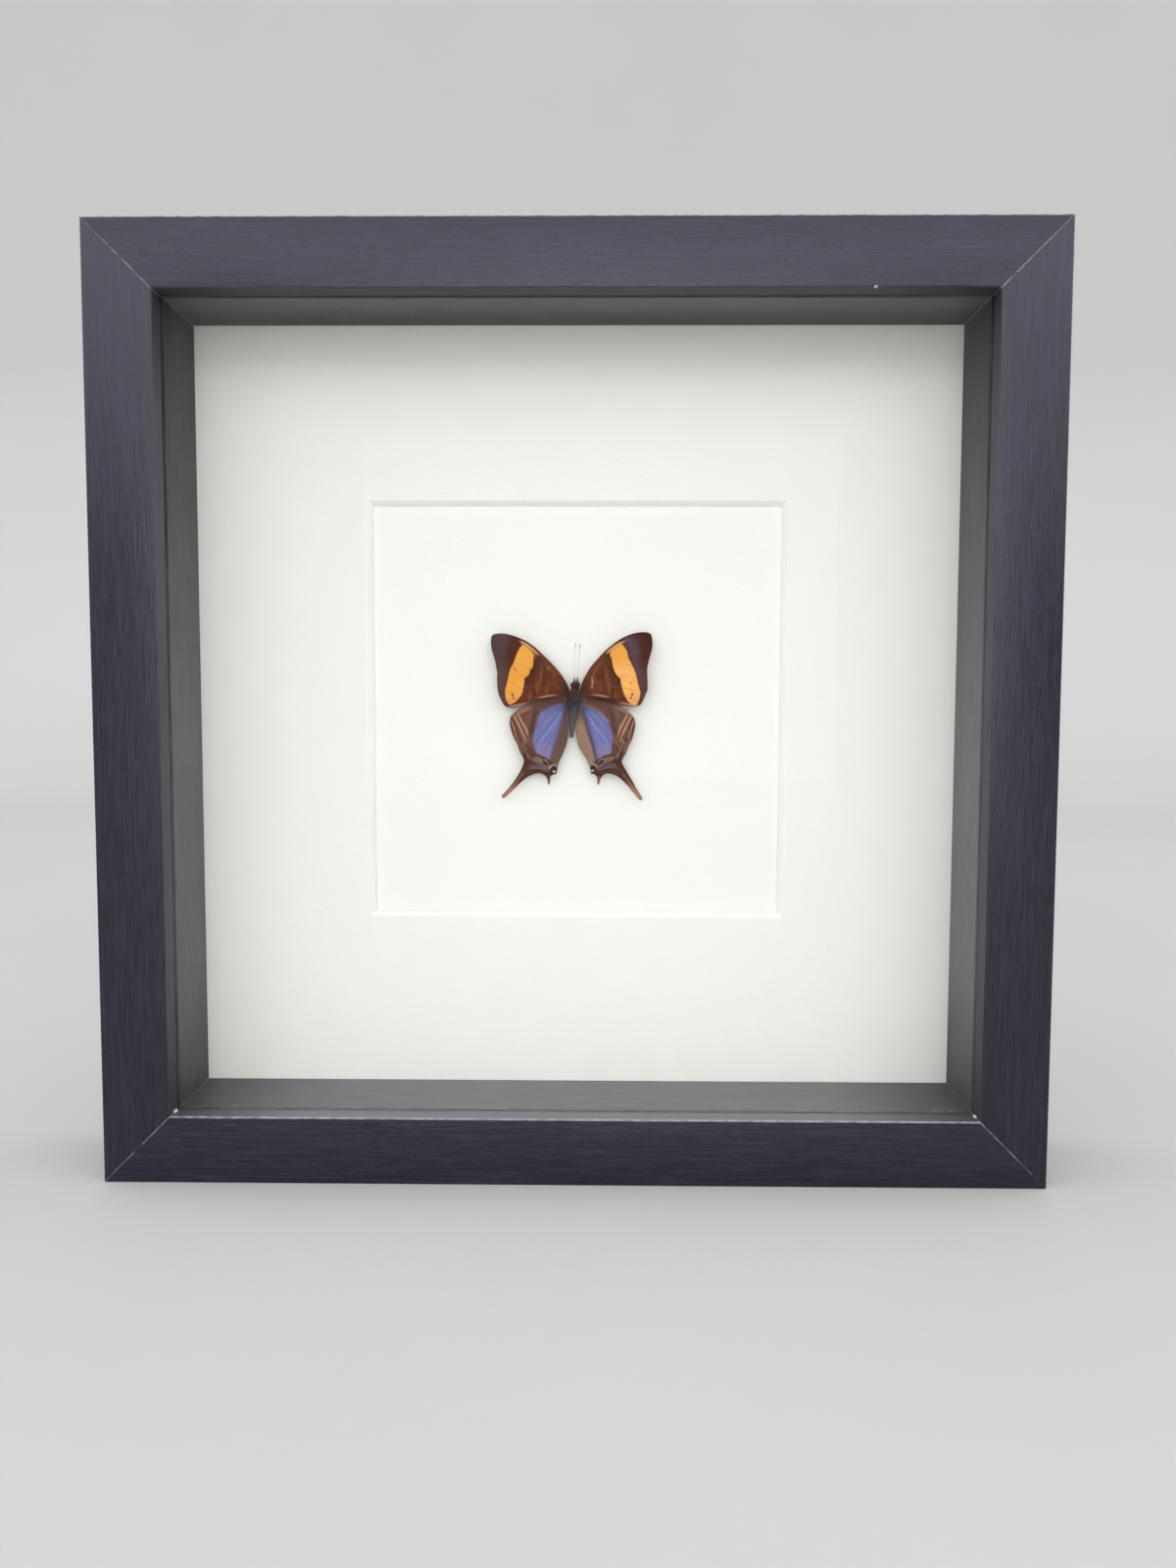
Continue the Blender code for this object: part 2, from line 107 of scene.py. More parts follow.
# %% [markdown]
# ## Finishes from nodes
#
# Each finish below is one Principled shader whose colour, gloss and relief come from noise. The small
# class keeps those recipes readable: each method adds one node and gives back its output, so a recipe
# reads from top to bottom. Places are given to the noise in millimetres, so that a scale of 2 means
# two blotches in a millimetre on any piece.

# %% A helper for node recipes
def paint(red, green, blue):
    """A screen colour, 0 to 255, as the linear colour that shaders take."""
    parts = [v / 255 for v in (red, green, blue)]
    return tuple(p / 12.92 if p < 0.04045 else ((p + 0.055) / 1.055) ** 2.4 for p in parts) + (1.0,)


class Recipe:
    """A tree of shader nodes: each method adds a node and returns its output."""

    def __init__(self, tree):
        self.tree = tree

    def node(self, kind, inputs=(), **settings):
        item = self.tree.nodes.new(kind)
        for name, value in settings.items():
            setattr(item, name, value)
        for key, value in dict(inputs).items():
            self.feed(item.inputs[key], value)
        return item

    def feed(self, socket, value):
        """Links an output to the socket, or sets its value."""
        if isinstance(value, bpy.types.NodeSocket):
            self.tree.links.new(value, socket)
        else:
            socket.default_value = value

    def math(self, operation, a, b=0.0, c=0.0):
        return self.node("ShaderNodeMath", {0: a, 1: b, 2: c}, operation=operation).outputs[0]

    def plus(self, a, b):
        return self.math("ADD", a, b)

    def minus(self, a, b):
        return self.math("SUBTRACT", a, b)

    def times(self, a, b):
        return self.math("MULTIPLY", a, b)

    def size(self, a):
        """The number without its sign."""
        return self.math("ABSOLUTE", a)

    def step(self, value, low, high, result=(0.0, 1.0)):
        """0 below low and 1 above high, or the two results, with a soft change between."""
        inputs = {"Value": value, "From Min": low, "From Max": high, "To Min": result[0], "To Max": result[1]}
        return self.node("ShaderNodeMapRange", inputs, interpolation_type="SMOOTHSTEP").outputs[0]

    def mix(self, share, a, b, blend="MIX"):
        inputs = {0: share, 6: a, 7: b}
        return self.node("ShaderNodeMix", inputs, data_type="RGBA", blend_type=blend).outputs[2]

    def over(self, shade, share, colour, strength=1.0):
        """The shade with the colour laid over it, as thick as share times strength."""
        return self.mix(self.times(share, strength), shade, colour)

    def between(self, share, a, b):
        """A number between a and b."""
        return self.node("ShaderNodeMix", {0: share, 2: a, 3: b}, data_type="FLOAT").outputs[0]

    def noise(self, place, scale, detail=2.0, roughness=0.5):
        inputs = {"Vector": place, "Scale": scale, "Detail": detail, "Roughness": roughness}
        return self.node("ShaderNodeTexNoise", inputs).outputs["Fac"]

    def cells(self, place, scale):
        return self.node("ShaderNodeTexVoronoi", {"Vector": place, "Scale": scale}).outputs["Distance"]

    def split(self, place):
        return self.node("ShaderNodeSeparateXYZ", {0: place}).outputs

    def join(self, x, y, z):
        return self.node("ShaderNodeCombineXYZ", {0: x, 1: y, 2: z}).outputs[0]

    def scaled(self, place, factors):
        return self.node("ShaderNodeMapping", {"Vector": place, "Scale": factors}).outputs[0]

    def field(self, name):
        """A number that the mesh carries at each of its points."""
        return self.node("ShaderNodeAttribute", attribute_name=name).outputs["Fac"]


class Finish(Recipe):
    """A material on one Principled shader."""

    def __init__(self, name, **values):
        self.material = bpy.data.materials.new(name)
        self.material.use_nodes = True
        super().__init__(self.material.node_tree)
        self.shader = self.tree.nodes["Principled BSDF"]
        self.set(**values)
        where = self.node("ShaderNodeTexCoord").outputs["Object"]
        self.mm = self.scaled(where, (1 / MM, 1 / MM, 1 / MM))

    def set(self, **values):
        """Sets or links inputs of the shader, named with _ for each space."""
        for name, value in values.items():
            self.feed(self.shader.inputs[name.replace("_", " ")], value)

    def relief(self, height, depth):
        """Small relief of that depth in mm, on top of any that is there."""
        bump = self.node("ShaderNodeBump", {"Height": height, "Distance": depth * MM})
        if self.shader.inputs["Normal"].is_linked:
            self.tree.links.new(self.shader.inputs["Normal"].links[0].from_socket, bump.inputs["Normal"])
        self.set(Normal=bump.outputs[0])


print("a mid grey is", [round(c, 3) for c in paint(128, 128, 128)[:3]])

# %% [markdown]
# ## Floor and light
#
# The frame stands on a plain pale floor that sweeps up behind it. The light is a soft sky: bright
# above and in front, dim below, with no hard lamp. A surface that leans back mirrors the bright part,
# and this is what makes the top rail the palest and the bottom rail the darkest. It also shades the
# top of the mat, because the deep top rail hides the bright sky from it. A weak soft box straight in
# front fills the shadows in the deep box; no rail mirrors it, because it stands where the camera does.

# %% The floor
FLOOR_HALF = 2.5
SWEEP_START = 1.1
SWEEP_RADIUS = 0.7
SWEEP_TOP = 2.2
SWEEP_STEPS = 24


def floor_profile():
    """The floor from front to back, then up the sweep: (y, z)."""
    turns = [pi / 2 * i / SWEEP_STEPS for i in range(SWEEP_STEPS + 1)]
    bend = [(SWEEP_START + SWEEP_RADIUS * sin(t), SWEEP_RADIUS * (1 - cos(t))) for t in turns]
    return [(-FLOOR_HALF, 0.0)] + bend + [(SWEEP_START + SWEEP_RADIUS, SWEEP_TOP)]


def make_floor():
    profile = floor_profile()
    points = [(x, y, z) for x in (-FLOOR_HALF, FLOOR_HALF) for y, z in profile]
    count = len(profile)
    mesh = bpy.data.meshes.new("floor")
    mesh.from_pydata(points, [], [(i, count + i, count + i + 1, i + 1) for i in range(count - 1)])
    mesh.shade_smooth()
    floor = added("floor", mesh)
    finish = Finish("pale_floor", Roughness=0.7)
    cloud = finish.noise(finish.mm, 0.004, 3.0)
    finish.set(Base_Color=finish.mix(cloud, paint(176, 175, 174), paint(182, 181, 180)))
    mesh.materials.append(finish.material)
    floor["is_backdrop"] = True
    return floor


floor = make_floor()
print("floor", len(floor.data.polygons), "faces")

# %% The soft sky
SKY = [  # how high the direction points, from -1 straight down to 1 straight up, and how bright it is
    (-1.0, 0.3), (-0.3, 0.35), (-0.02, 0.42), (0.1, 0.75), (0.2, 1.9), (0.3, 3.9), (0.42, 2.3),
    (0.7, 1.4), (1.0, 1.3),
]
SKY_TINT = (0.985, 0.99, 1.0)
BACKGROUND = paint(232, 232, 231)

world = bpy.data.worlds.new("soft_sky")
world.use_nodes = True
bpy.context.scene.world = world
sky = Recipe(world.node_tree)
direction = sky.node("ShaderNodeTexCoord").outputs["Generated"]
ramp = sky.node("ShaderNodeValToRGB", {0: sky.math("MULTIPLY_ADD", sky.split(direction)[2], 0.5, 0.5)})
SKY_PEAK = max(bright for _, bright in SKY)
stops = ramp.color_ramp.elements
for number, (height, bright) in enumerate(SKY):
    place = height / 2 + 0.5
    stop = stops[number] if number < 2 else stops.new(place)
    stop.position = place
    stop.color = tuple(bright / SKY_PEAK * tint for tint in SKY_TINT) + (1.0,)
light = world.node_tree.nodes["Background"]
world.node_tree.links.new(ramp.outputs[0], light.inputs["Color"])
light.inputs["Strength"].default_value = SKY_PEAK
plain = sky.node("ShaderNodeBackground", {"Color": BACKGROUND})
seen = sky.node("ShaderNodeLightPath").outputs["Is Camera Ray"]
both = sky.node("ShaderNodeMixShader", {0: seen, 1: light.outputs[0], 2: plain.outputs[0]})
world.node_tree.links.new(both.outputs[0], world.node_tree.nodes["World Output"].inputs["Surface"])
bpy.context.scene.view_settings.view_transform = "Standard"
print("sky from", SKY[0][1], "below to", SKY[-1][1], "overhead")

# %% A soft box behind the camera
BOX_SIZE = 0.75
BOX_DISTANCE = 1.7
BOX_HEIGHT = 0.16
BOX_BRIGHTNESS = 3.6

lamp = bpy.data.lights.new("soft_box", "AREA")
lamp.size = BOX_SIZE
lamp.energy = BOX_BRIGHTNESS * pi * BOX_SIZE ** 2
soft_box = added("soft_box", lamp)
soft_box.location = (0.0, -BOX_DISTANCE, BOX_HEIGHT)
soft_box.rotation_euler = (pi / 2, 0.0, 0.0)
print("soft box", BOX_SIZE, "m wide,", BOX_DISTANCE, "m in front")

# %% [markdown]
# ## What the frame measures
#
# The rails have an L-shaped section: a wide face, a lip in front of the glass and a thin wall behind
# it. All its sizes can be read from the boxes of the solids, so the finer rails below fit them.

# %% Sizes read from the solids
GAP = 0.3 * MM  # the clearance between the solids
FRONT, BACK = cad_box[0][1], cad_box[1][1]
SIDE = cad_box[1][0] - cad_box[0][0]
HALF = SIDE / 2
MIDDLE_Z = HALF
FACE_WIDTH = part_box("rail_bottom")[1].z
OPENING = HALF - FACE_WIDTH  # from the middle to the lip
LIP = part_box("glass_pane")[0].y - GAP - FRONT
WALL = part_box("spacer_bottom")[0].z - GAP
MAT_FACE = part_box("mat_board")[0].y
BOARD_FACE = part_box("specimen_board")[0].y
SIDES = ("bottom", "right", "top", "left")
measures = {"face": FACE_WIDTH, "lip": LIP, "wall": WALL, "depth to the mat": MAT_FACE - FRONT}
print("in mm:", {name: round(value / MM, 2) for name, value in measures.items()})

# %% Helpers for meshes
CREASE = 35  # degrees between faces from which an edge of the frame stays sharp


def smoothed(mesh, angle):
    mesh.shade_smooth()
    mesh.set_sharp_from_angle(angle=radians(angle))


def mesh_object(name, points, faces, finish=None, smooth_angle=None):
    """A mesh with its faces turned outwards, smooth up to that angle in degrees."""
    mesh = bpy.data.meshes.new(name)
    mesh.from_pydata([tuple(p) for p in points], [], [tuple(f) for f in faces])
    bm = bmesh.new()
    bm.from_mesh(mesh)
    bmesh.ops.recalc_face_normals(bm, faces=bm.faces)
    bm.to_mesh(mesh)
    bm.free()
    if finish:
        mesh.materials.append(finish.material)
    if smooth_angle:
        smoothed(mesh, smooth_angle)
    return added(name, mesh)


def rings_to_faces(rings, count, closed_ends=True):
    """Faces between rings of count points that follow each other in one list."""
    faces = []
    for i in range(rings - 1):
        for j in range(count):
            k = (j + 1) % count
            faces.append((i * count + j, i * count + k, (i + 1) * count + k, (i + 1) * count + j))
    if closed_ends:
        faces += [tuple(range(count)), tuple(range((rings - 1) * count, rings * count))]
    return faces


def made_plain(item):
    """Turns the object's modifiers into plain mesh."""
    graph = bpy.context.evaluated_depsgraph_get()
    solved = item.evaluated_get(graph)
    mesh = bpy.data.meshes.new_from_object(solved, preserve_all_data_layers=True, depsgraph=graph)
    item.modifiers.clear()
    item.data = mesh
    return item


def wear(name, material):
    """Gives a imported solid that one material."""
    nodes[name].data.materials.clear()
    nodes[name].data.materials.append(material)


def shown(item, replaced=()):
    """Puts a finished piece on the frame, in place of the solids it stands for."""
    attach(item, "root")
    if replaced:
        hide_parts(*replaced)
    item.data.calc_loop_triangles()
    print(item.name, len(item.data.loop_triangles), "triangles")
    return item


# %% [markdown]
# ## The black foil
#
# The rails are fibreboard wrapped in a black plastic foil that is printed and pressed like oiled oak.
# It shows long thin streaks and short dark pores that run along each rail, so the grain turns the
# corner at the mitre. The finish finds out for itself which rail a point is on: left of one diagonal
# and right of the other, the grain runs upright. At the mitre the cut edge of the foil shows as a fine
# pale line, and three small chips are bare. A painted highlight pales the front edges that face up, and
# painted light pales the lip's up-facing face, less near the mitres; the lip is also duller.

# %% A finish that knows the frame's directions
BOARD_SHIFT = 1000.0  # mm, so that the upright rails show other streaks than the level ones
SLANT = 0.707  # times how much wider than tall a place is gives its distance from the mitre


class FoilFinish(Finish):
    """Foil on a square frame: along and across its rail, deep in it, from mitre and middle, in mm."""

    def __init__(self, name, **values):
        super().__init__(name, **values)
        x, self.depth, z = self.split(self.mm)[:3]
        up = self.minus(z, MIDDLE_Z / MM)
        wide, tall = self.size(x), self.size(up)
        upright = self.math("GREATER_THAN", wide, tall)
        self.along = self.plus(self.between(upright, x, up), self.times(upright, BOARD_SHIFT))
        self.across = self.between(upright, up, x)
        self.from_mitre = self.times(self.size(self.minus(wide, tall)), SLANT)
        self.from_middle = self.math("MAXIMUM", wide, tall)
        self.height_share = self.math("DIVIDE", z, SIDE / MM)
        self.facing_up = self.split(self.node("ShaderNodeNewGeometry").outputs["Normal"])[2]
        self.worn = self.noise(self.mm, 0.35, 3.0)
        self.long_streaks = self.streaks(1.7, 20.0, 0.42, 0.74)
        self.fine_streaks = self.streaks(4.5, 7.0, 0.36, 0.76)
        self.pores = self.streaks(5.5, 2.5, 0.6, 0.74)

    def streaks(self, per_mm, length, low, high):
        """Streaks of about that length in mm, with per_mm of them side by side."""
        stretched = self.join(self.times(self.along, 1 / (length * per_mm)), self.across, self.depth)
        return self.step(self.noise(stretched, per_mm, 2.0), low, high)


print("upright rails take their streaks from", BOARD_SHIFT, "mm further on")

# %% Wear and dust on the foil
CUT_EDGE = paint(158, 158, 163)
MITRE_LINE = 0.1  # mm of pale edge on each side of the joint
# A painted highlight pales the front edges that face up: its colour, and where it lies.
EDGE_HIGHLIGHT = paint(146, 148, 156)
EDGE_HIGHLIGHT_DEPTH = (FRONT / MM + 0.9, FRONT / MM + 0.3)  # y in mm where the painted edge highlight starts and is full
EDGE_HIGHLIGHT_REACH = (118.0, 137.0)  # mm from the middle, from less to more
CHIP_ROUGH = 0.8
# Where each chip is and how large, in mm.
CHIPS = [((83.2, -22.3, 255.4), 0.5), ((137.3, -21.8, 245.0), 0.45), ((104.5, -15.7, 255.2), 0.3)]
# Painted light: a pale grey laid where light falls, and painted shade near the mitres where less of it is
# laid.
PAINTED_LIGHT_GREY = paint(164, 164, 166)
CORNER_SHADE_REACH = 32.0  # mm from a mitre over which the painted shade near it fades out
GLASS_LIGHT_DEPTH = (8.0, -12.0)  # y in mm where the painted light near the glass starts and is full


def worn_and_highlit_foil(f, shade, edge_light):
    """The cut edge at the mitres, a painted highlight on the up-facing front edges, and the chips."""
    line = f.times(f.step(f.worn, 0.3, 0.6, (0.35, 1.0)), MITRE_LINE)
    line = f.times(f.step(f.from_middle, HALF / MM, HALF / MM - 12, (0.4, 1.0)), line)
    shade = f.mix(f.math("LESS_THAN", f.from_mitre, line), shade, CUT_EDGE)
    # Painted highlight: front edges that face up are painted paler, in patches.
    edge_highlight = f.times(f.step(f.depth, *EDGE_HIGHLIGHT_DEPTH), f.step(f.facing_up, 0.1, 0.5))
    edge_highlight = f.times(edge_highlight, f.step(f.from_middle, *EDGE_HIGHLIGHT_REACH, (0.7, 1.0)))
    edge_highlight = f.times(edge_highlight, f.step(f.worn, 0.35, 0.6, (0.4, 1.0)))
    shade = f.over(shade, edge_highlight, EDGE_HIGHLIGHT, edge_light)
    for chip, size in CHIPS:
        away = f.node("ShaderNodeVectorMath", {0: f.mm, 1: chip}, operation="DISTANCE").outputs["Value"]
        ragged = f.math("MULTIPLY_ADD", f.worn, CHIP_ROUGH, away)
        shade = f.mix(f.math("LESS_THAN", ragged, size + CHIP_ROUGH / 2), shade, CUT_EDGE)
    return shade


def foil_painted_light(f, shade, dusty, glass_light, in_lip):
    """Painted light: paler lower down on the strips and on the lip's up-facing face, with painted shade near
    the mitres, and paler near the glass.
    """
    # Painted shade near the mitres: the painted light there falls to a third.
    beyond_corner_shade = f.step(f.from_mitre, 0.0, CORNER_SHADE_REACH, (0.3, 1.0))
    # Painted light: paler lower down, in streaks.
    lit_low = f.times(f.step(f.height_share, 0.95, 0.4), f.step(f.fine_streaks, 0.0, 1.0, (0.72, 1.1)))
    shade = f.over(shade, f.times(lit_low, beyond_corner_shade), PAINTED_LIGHT_GREY, dusty)
    # Painted highlight on the lip's up-facing face.
    lip_highlight = f.times(f.times(in_lip, beyond_corner_shade), f.step(f.facing_up, 0.5, 0.9, (0.13, 0.4)))
    # Painted light near the glass, against the lip's shadow.
    glass_side_light = f.times(f.step(f.depth, *GLASS_LIGHT_DEPTH), glass_light)
    return f.mix(f.plus(lip_highlight, glass_side_light), shade, PAINTED_LIGHT_GREY)


print(len(CHIPS), "chips in the foil")

# %% The foil
FOIL = (paint(10, 9, 17), paint(39, 38, 53))  # the foil and its streaks
FOIL_PORE = paint(12, 12, 15)
FOIL_TINT = (0.83, 0.83, 1.0, 1.0)
LIP_EDGE = OPENING / MM + 0.3  # mm from the middle; what is nearer lies in the opening


# The last four settings paint light: an edge highlight, painted light lower down on the strips, near the
# glass, and on the lip.
def make_foil(name, colours, gloss, ior, edge_light=0.0, dusty=0.0, glass_light=0.0, lip_dull_and_light=0.0):
    f = FoilFinish(name, IOR=ior, Specular_Tint=FOIL_TINT)
    shade = f.over(colours[0], f.long_streaks, colours[1], 0.5)
    shade = f.over(shade, f.fine_streaks, colours[1], 0.4)
    shade = f.over(shade, f.pores, FOIL_PORE, 0.45)
    in_lip = f.times(lip_dull_and_light, f.math("LESS_THAN", f.from_middle, LIP_EDGE))
    f.set(Base_Color=foil_painted_light(f, worn_and_highlit_foil(f, shade, edge_light), dusty, glass_light, in_lip))
    cloud = f.step(f.noise(f.mm, 0.03, 3.0), 0.3, 0.7, (gloss - 0.01, gloss + 0.03))
    dull = f.math("MULTIPLY_ADD", f.fine_streaks, 0.08, cloud)
    f.set(Roughness=f.math("MULTIPLY_ADD", in_lip, 0.5, dull))
    f.relief(f.minus(f.fine_streaks, f.pores), 0.012)
    f.relief(f.long_streaks, 0.006)
    return f


rail_foil = make_foil("rail_foil", FOIL, gloss=0.23, ior=1.49, edge_light=0.9, lip_dull_and_light=1.0)
print("foil streaks about 20 and 7 mm long, pores about 2.5 mm")

# %% [markdown]
# ## Rails
#
# A frame maker cuts one long moulding into four at 45 degrees. The code does the same: it draws the
# L-shaped section once, with its rounded edges, and sweeps it between the two mitre planes of each
# side. The slots for the tabs and the pocket for the hanger are then cut out with booleans, because
# that is how a router makes them, and the cutters are thrown away.

# %% The moulding's section
EDGE_ROUND = 0.6 * MM
BACK_ROUND = 0.25 * MM
ROUND_STEPS = 6
JOINT_GAP = 0.05 * MM  # between two rails at the mitre
STATIONS = 12  # along a side


def arc(across, back, radius, start):
    """A quarter circle in the section, from the angle start on."""
    turns = [start + pi / 2 * i / ROUND_STEPS for i in range(ROUND_STEPS + 1)]
    return [(across + radius * cos(t), back + radius * sin(t)) for t in turns]


def rail_section():
    """The section as (inwards from the outer side, back from the face)."""
    r, b, depth = EDGE_ROUND, BACK_ROUND, BACK - FRONT
    points = arc(r, r, r, pi)
    points += arc(FACE_WIDTH - r, r, r, 1.5 * pi)
    points += arc(FACE_WIDTH - b, LIP - b, b, 0.0)
    points += [(WALL, LIP)]
    points += arc(WALL - b, depth - b, b, 0.0)
    return points + arc(b, depth - b, b, 0.5 * pi)


def on_side(turn, along, inward, y):
    """A place on one side of the square, from its middle, counted anticlockwise from the bottom."""
    x, z = along, inward - HALF
    for _ in range(turn):
        x, z = -z, x
    return Vector((x, y, z + MIDDLE_Z))


def swept(name, section, turn, finish):
    """One side of the square frame, cut at both mitres."""
    points = []
    for step in range(STATIONS + 1):
        share = 2 * step / STATIONS - 1
        for inward, back in section:
            reach = HALF - inward - JOINT_GAP / 2 * 2 ** 0.5
            points.append(on_side(turn, share * reach, inward, FRONT + back))
    return mesh_object(name, points, rings_to_faces(STATIONS + 1, len(section)), finish, CREASE)


print("the section has", len(rail_section()), "points")

# %% Raw fibreboard in the rabbet
BOARD_BROWN = paint(150, 116, 84)
BOARD_DARK = paint(112, 84, 60)
IN_PLANE = 0.1 * MM  # a face's middle counts as on the wall or the mitre within this
ON_STEP = 0.02 * MM


def make_fibreboard():
    """Pressed wood dust: fine short fibres on an even brown."""
    finish = Finish("raw_fibreboard", Roughness=0.9)
    fibres = finish.noise(finish.mm, 3.0, 4.0, 0.7)
    cloud = finish.noise(finish.mm, 0.15, 2.0)
    shade = finish.mix(finish.step(fibres, 0.3, 0.7), BOARD_DARK, BOARD_BROWN)
    finish.set(Base_Color=finish.over(shade, cloud, BOARD_DARK, 0.3))
    finish.relief(fibres, 0.05)
    return finish


fibreboard = make_fibreboard()


def bare_rabbet(rail, turn):
    """Gives the faces of the step behind the lip the raw fibreboard."""
    rail.data.materials.append(fibreboard.material)
    for face in rail.data.polygons:
        centre = face.center
        x, z = centre.x, centre.z - MIDDLE_Z
        for _ in range(turn):
            x, z = z, -x
        inward, back = z + HALF, centre.y - FRONT
        in_wall = abs(inward - WALL) < IN_PLANE and back > LIP
        behind_lip = inward > WALL - BACK_ROUND and abs(back - LIP) < ON_STEP
        mitred = abs(abs(x) - abs(z)) < IN_PLANE
        if in_wall or behind_lip or mitred:
            face.material_index = 1


print("raw board behind", round(LIP / MM, 1), "mm of lip")

# %% Pocket and slots
def block(name, low, high):
    """A block between two corners, for cutting."""
    (x0, y0, z0), (x1, y1, z1) = low, high
    points = [(x, y, z) for z in (z0, z1) for x, y in ((x0, y0), (x1, y0), (x1, y1), (x0, y1))]
    return mesh_object(name, points, rings_to_faces(2, 4))


def cut_away(item, cutters):
    for cutter in cutters:
        change = item.modifiers.new("cut", "BOOLEAN")
        change.operation = "DIFFERENCE"
        change.solver = "EXACT"
        change.object = cutter
    made_plain(item)
    for cutter in cutters:
        bpy.data.objects.remove(cutter)


def slot_cutters(side):
    """A block round each of the two tabs of a side, a little larger than the tab."""
    cutters = []
    for number in (1, 2):
        low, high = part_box(f"tab_{side}_{number}")
        margin = Vector((GAP, GAP, GAP))
        cutters.append(block("slot", low - margin, high + margin))
    return cutters


POCKET_LENGTH = 50 * MM
POCKET_FROM_TOP = 2.6 * MM
POCKET_PAST_WALL = 2 * MM


def pocket_cutter():
    """The routed pocket that keeps the hanger behind the frame's back."""
    plate_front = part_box("sawtooth_hanger")[0].y
    low = (-POCKET_LENGTH / 2, plate_front - GAP, SIDE - WALL - POCKET_PAST_WALL)
    return block("pocket", low, (POCKET_LENGTH / 2, BACK + MM, SIDE - POCKET_FROM_TOP))


print("the hanger's pocket is", round(POCKET_LENGTH / MM), "mm long")

# %% The four rails
for turn, side in enumerate(SIDES):
    rail = swept("rail_" + side + "_foiled", rail_section(), turn, rail_foil)
    bare_rabbet(rail, turn)
    cutters = slot_cutters(side)
    if side == "top":
        cutters.append(pocket_cutter())
    cut_away(rail, cutters)
    smoothed(rail.data, CREASE)
    shown(rail, ["rail_" + side])

# %% [markdown]
# ## The strips that line the walls
#
# Four deep strips stand between the glass and the mat and keep them apart. They wear the same foil,
# a little more worn by handling. Seen at a low angle they mirror the white mat, which makes them grey.
# Painted light makes them paler lower down, as light falls from above, by a different amount on each side
# and most on the bottom strip; near the mitres painted shade keeps them darker. The top one is only
# painted paler near the glass, where the lip's shadow falls.

# %% The four strips
STRIP_EDGE = 0.35 * MM


def strip_section():
    low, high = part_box("spacer_bottom")
    outer, inner = low.z, high.z
    front, back = low.y - FRONT, high.y - FRONT
    r = STRIP_EDGE
    return arc(inner - r, front + r, r, 1.5 * pi) + [(inner, back), (outer, back), (outer, front)]


STRIP_GREY = (paint(48, 48, 49), paint(96, 96, 98))
# How much painted light each strip gets lower down, and how much near the glass.
STRIP_PAINTED_LIGHT = {"bottom": (0.52, 0.0), "right": (0.42, 0.0), "top": (0.0, 0.22), "left": (0.27, 0.0)}
for turn, side in enumerate(SIDES):
    dusty, glass_light = STRIP_PAINTED_LIGHT[side]
    strip_foil = make_foil("strip_foil_" + side, STRIP_GREY, gloss=0.5, ior=1.35, dusty=dusty, glass_light=glass_light)
    strip = swept("strip_" + side, strip_section(), turn, strip_foil)
    shown(strip, ["spacer_" + side])

# %% [markdown]
# ## Mat and board
#
# The mat is a sheet of white board, 1.4 mm thick. Its square window is cut with the blade tilted at
# 45 degrees, so a bright bevel of the core shows all round. The face is faintly textured paper: fine
# tooth all over and soft clouds where the pulp was thicker. The board that carries the butterfly is
# the same stock without a window. Each corner of the bevel is crisp.

# %% Paper
MAT_PAPER = paint(241, 239, 235)
MAT_SHADE = paint(238, 235, 230)
CORE_WHITE = paint(247, 245, 241)
BOARD_WHITE = paint(242, 240, 236)


def make_paper(name, light, shade):
    finish = Finish(name, Roughness=0.85, Specular_IOR_Level=0.3)
    tooth = finish.noise(finish.mm, 2.2, 4.0, 0.6)
    pulp = finish.noise(finish.mm, 0.12, 3.0)
    flat = finish.scaled(finish.mm, (0.5, 1.0, 2.5))
    felt = finish.noise(flat, 0.9, 2.0)
    tone = finish.plus(finish.times(tooth, 0.75), finish.times(pulp, 0.25))
    finish.set(Base_Color=finish.mix(finish.step(tone, 0.35, 0.65), shade, light),
               Roughness=finish.step(tooth, 0.3, 0.7, (0.8, 0.9)))
    finish.relief(tooth, 0.05)
    finish.relief(felt, 0.06)
    return finish


mat_paper = make_paper("mat_paper", MAT_PAPER, MAT_SHADE)
core_paper = make_paper("bevel_core", CORE_WHITE, MAT_PAPER)
board_paper = make_paper("board_paper", BOARD_WHITE, MAT_PAPER)
print("three white papers, each with its own tooth")

# %% The mat with its bevelled window
MAT_EDGE = 0.12 * MM  # the soft top edge of the bevel
MAT_BORDER = 2 * MM  # the ring of face next to the window
WINDOW_HALF = 65 * MM
ON_FACE = 0.01 * MM


def square_ring(half, y):
    corners = ((-half, -half), (half, -half), (half, half), (-half, half))
    return [Vector((x, y, MIDDLE_Z + z)) for x, z in corners]


def make_mat():
    low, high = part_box("mat_board")
    thick = high.y - low.y
    outer = high.x
    profile = [
        (outer, low.y), (WINDOW_HALF + MAT_BORDER, low.y), (WINDOW_HALF, low.y),
        (WINDOW_HALF - MAT_EDGE, low.y + MAT_EDGE * 0.6), (WINDOW_HALF - thick, high.y), (outer, high.y),
    ]
    points = [p for half, y in profile for p in square_ring(half, y)]
    rings = len(profile)
    faces = rings_to_faces(rings, 4, closed_ends=False)
    last = (rings - 1) * 4
    faces += [(last + j, last + (j + 1) % 4, (j + 1) % 4, j) for j in range(4)]
    mat = mesh_object("mat", points, faces, mat_paper)
    mat.data.materials.append(core_paper.material)
    for face in mat.data.polygons:
        centre = face.center
        reach = max(abs(centre.x), abs(centre.z - MIDDLE_Z))
        between_faces = low.y + ON_FACE < centre.y < high.y - ON_FACE
        face.material_index = 1 if reach < WINDOW_HALF and between_faces else 0
    return mat


shown(make_mat(), ["mat_board"])
wear("specimen_board", board_paper.material)

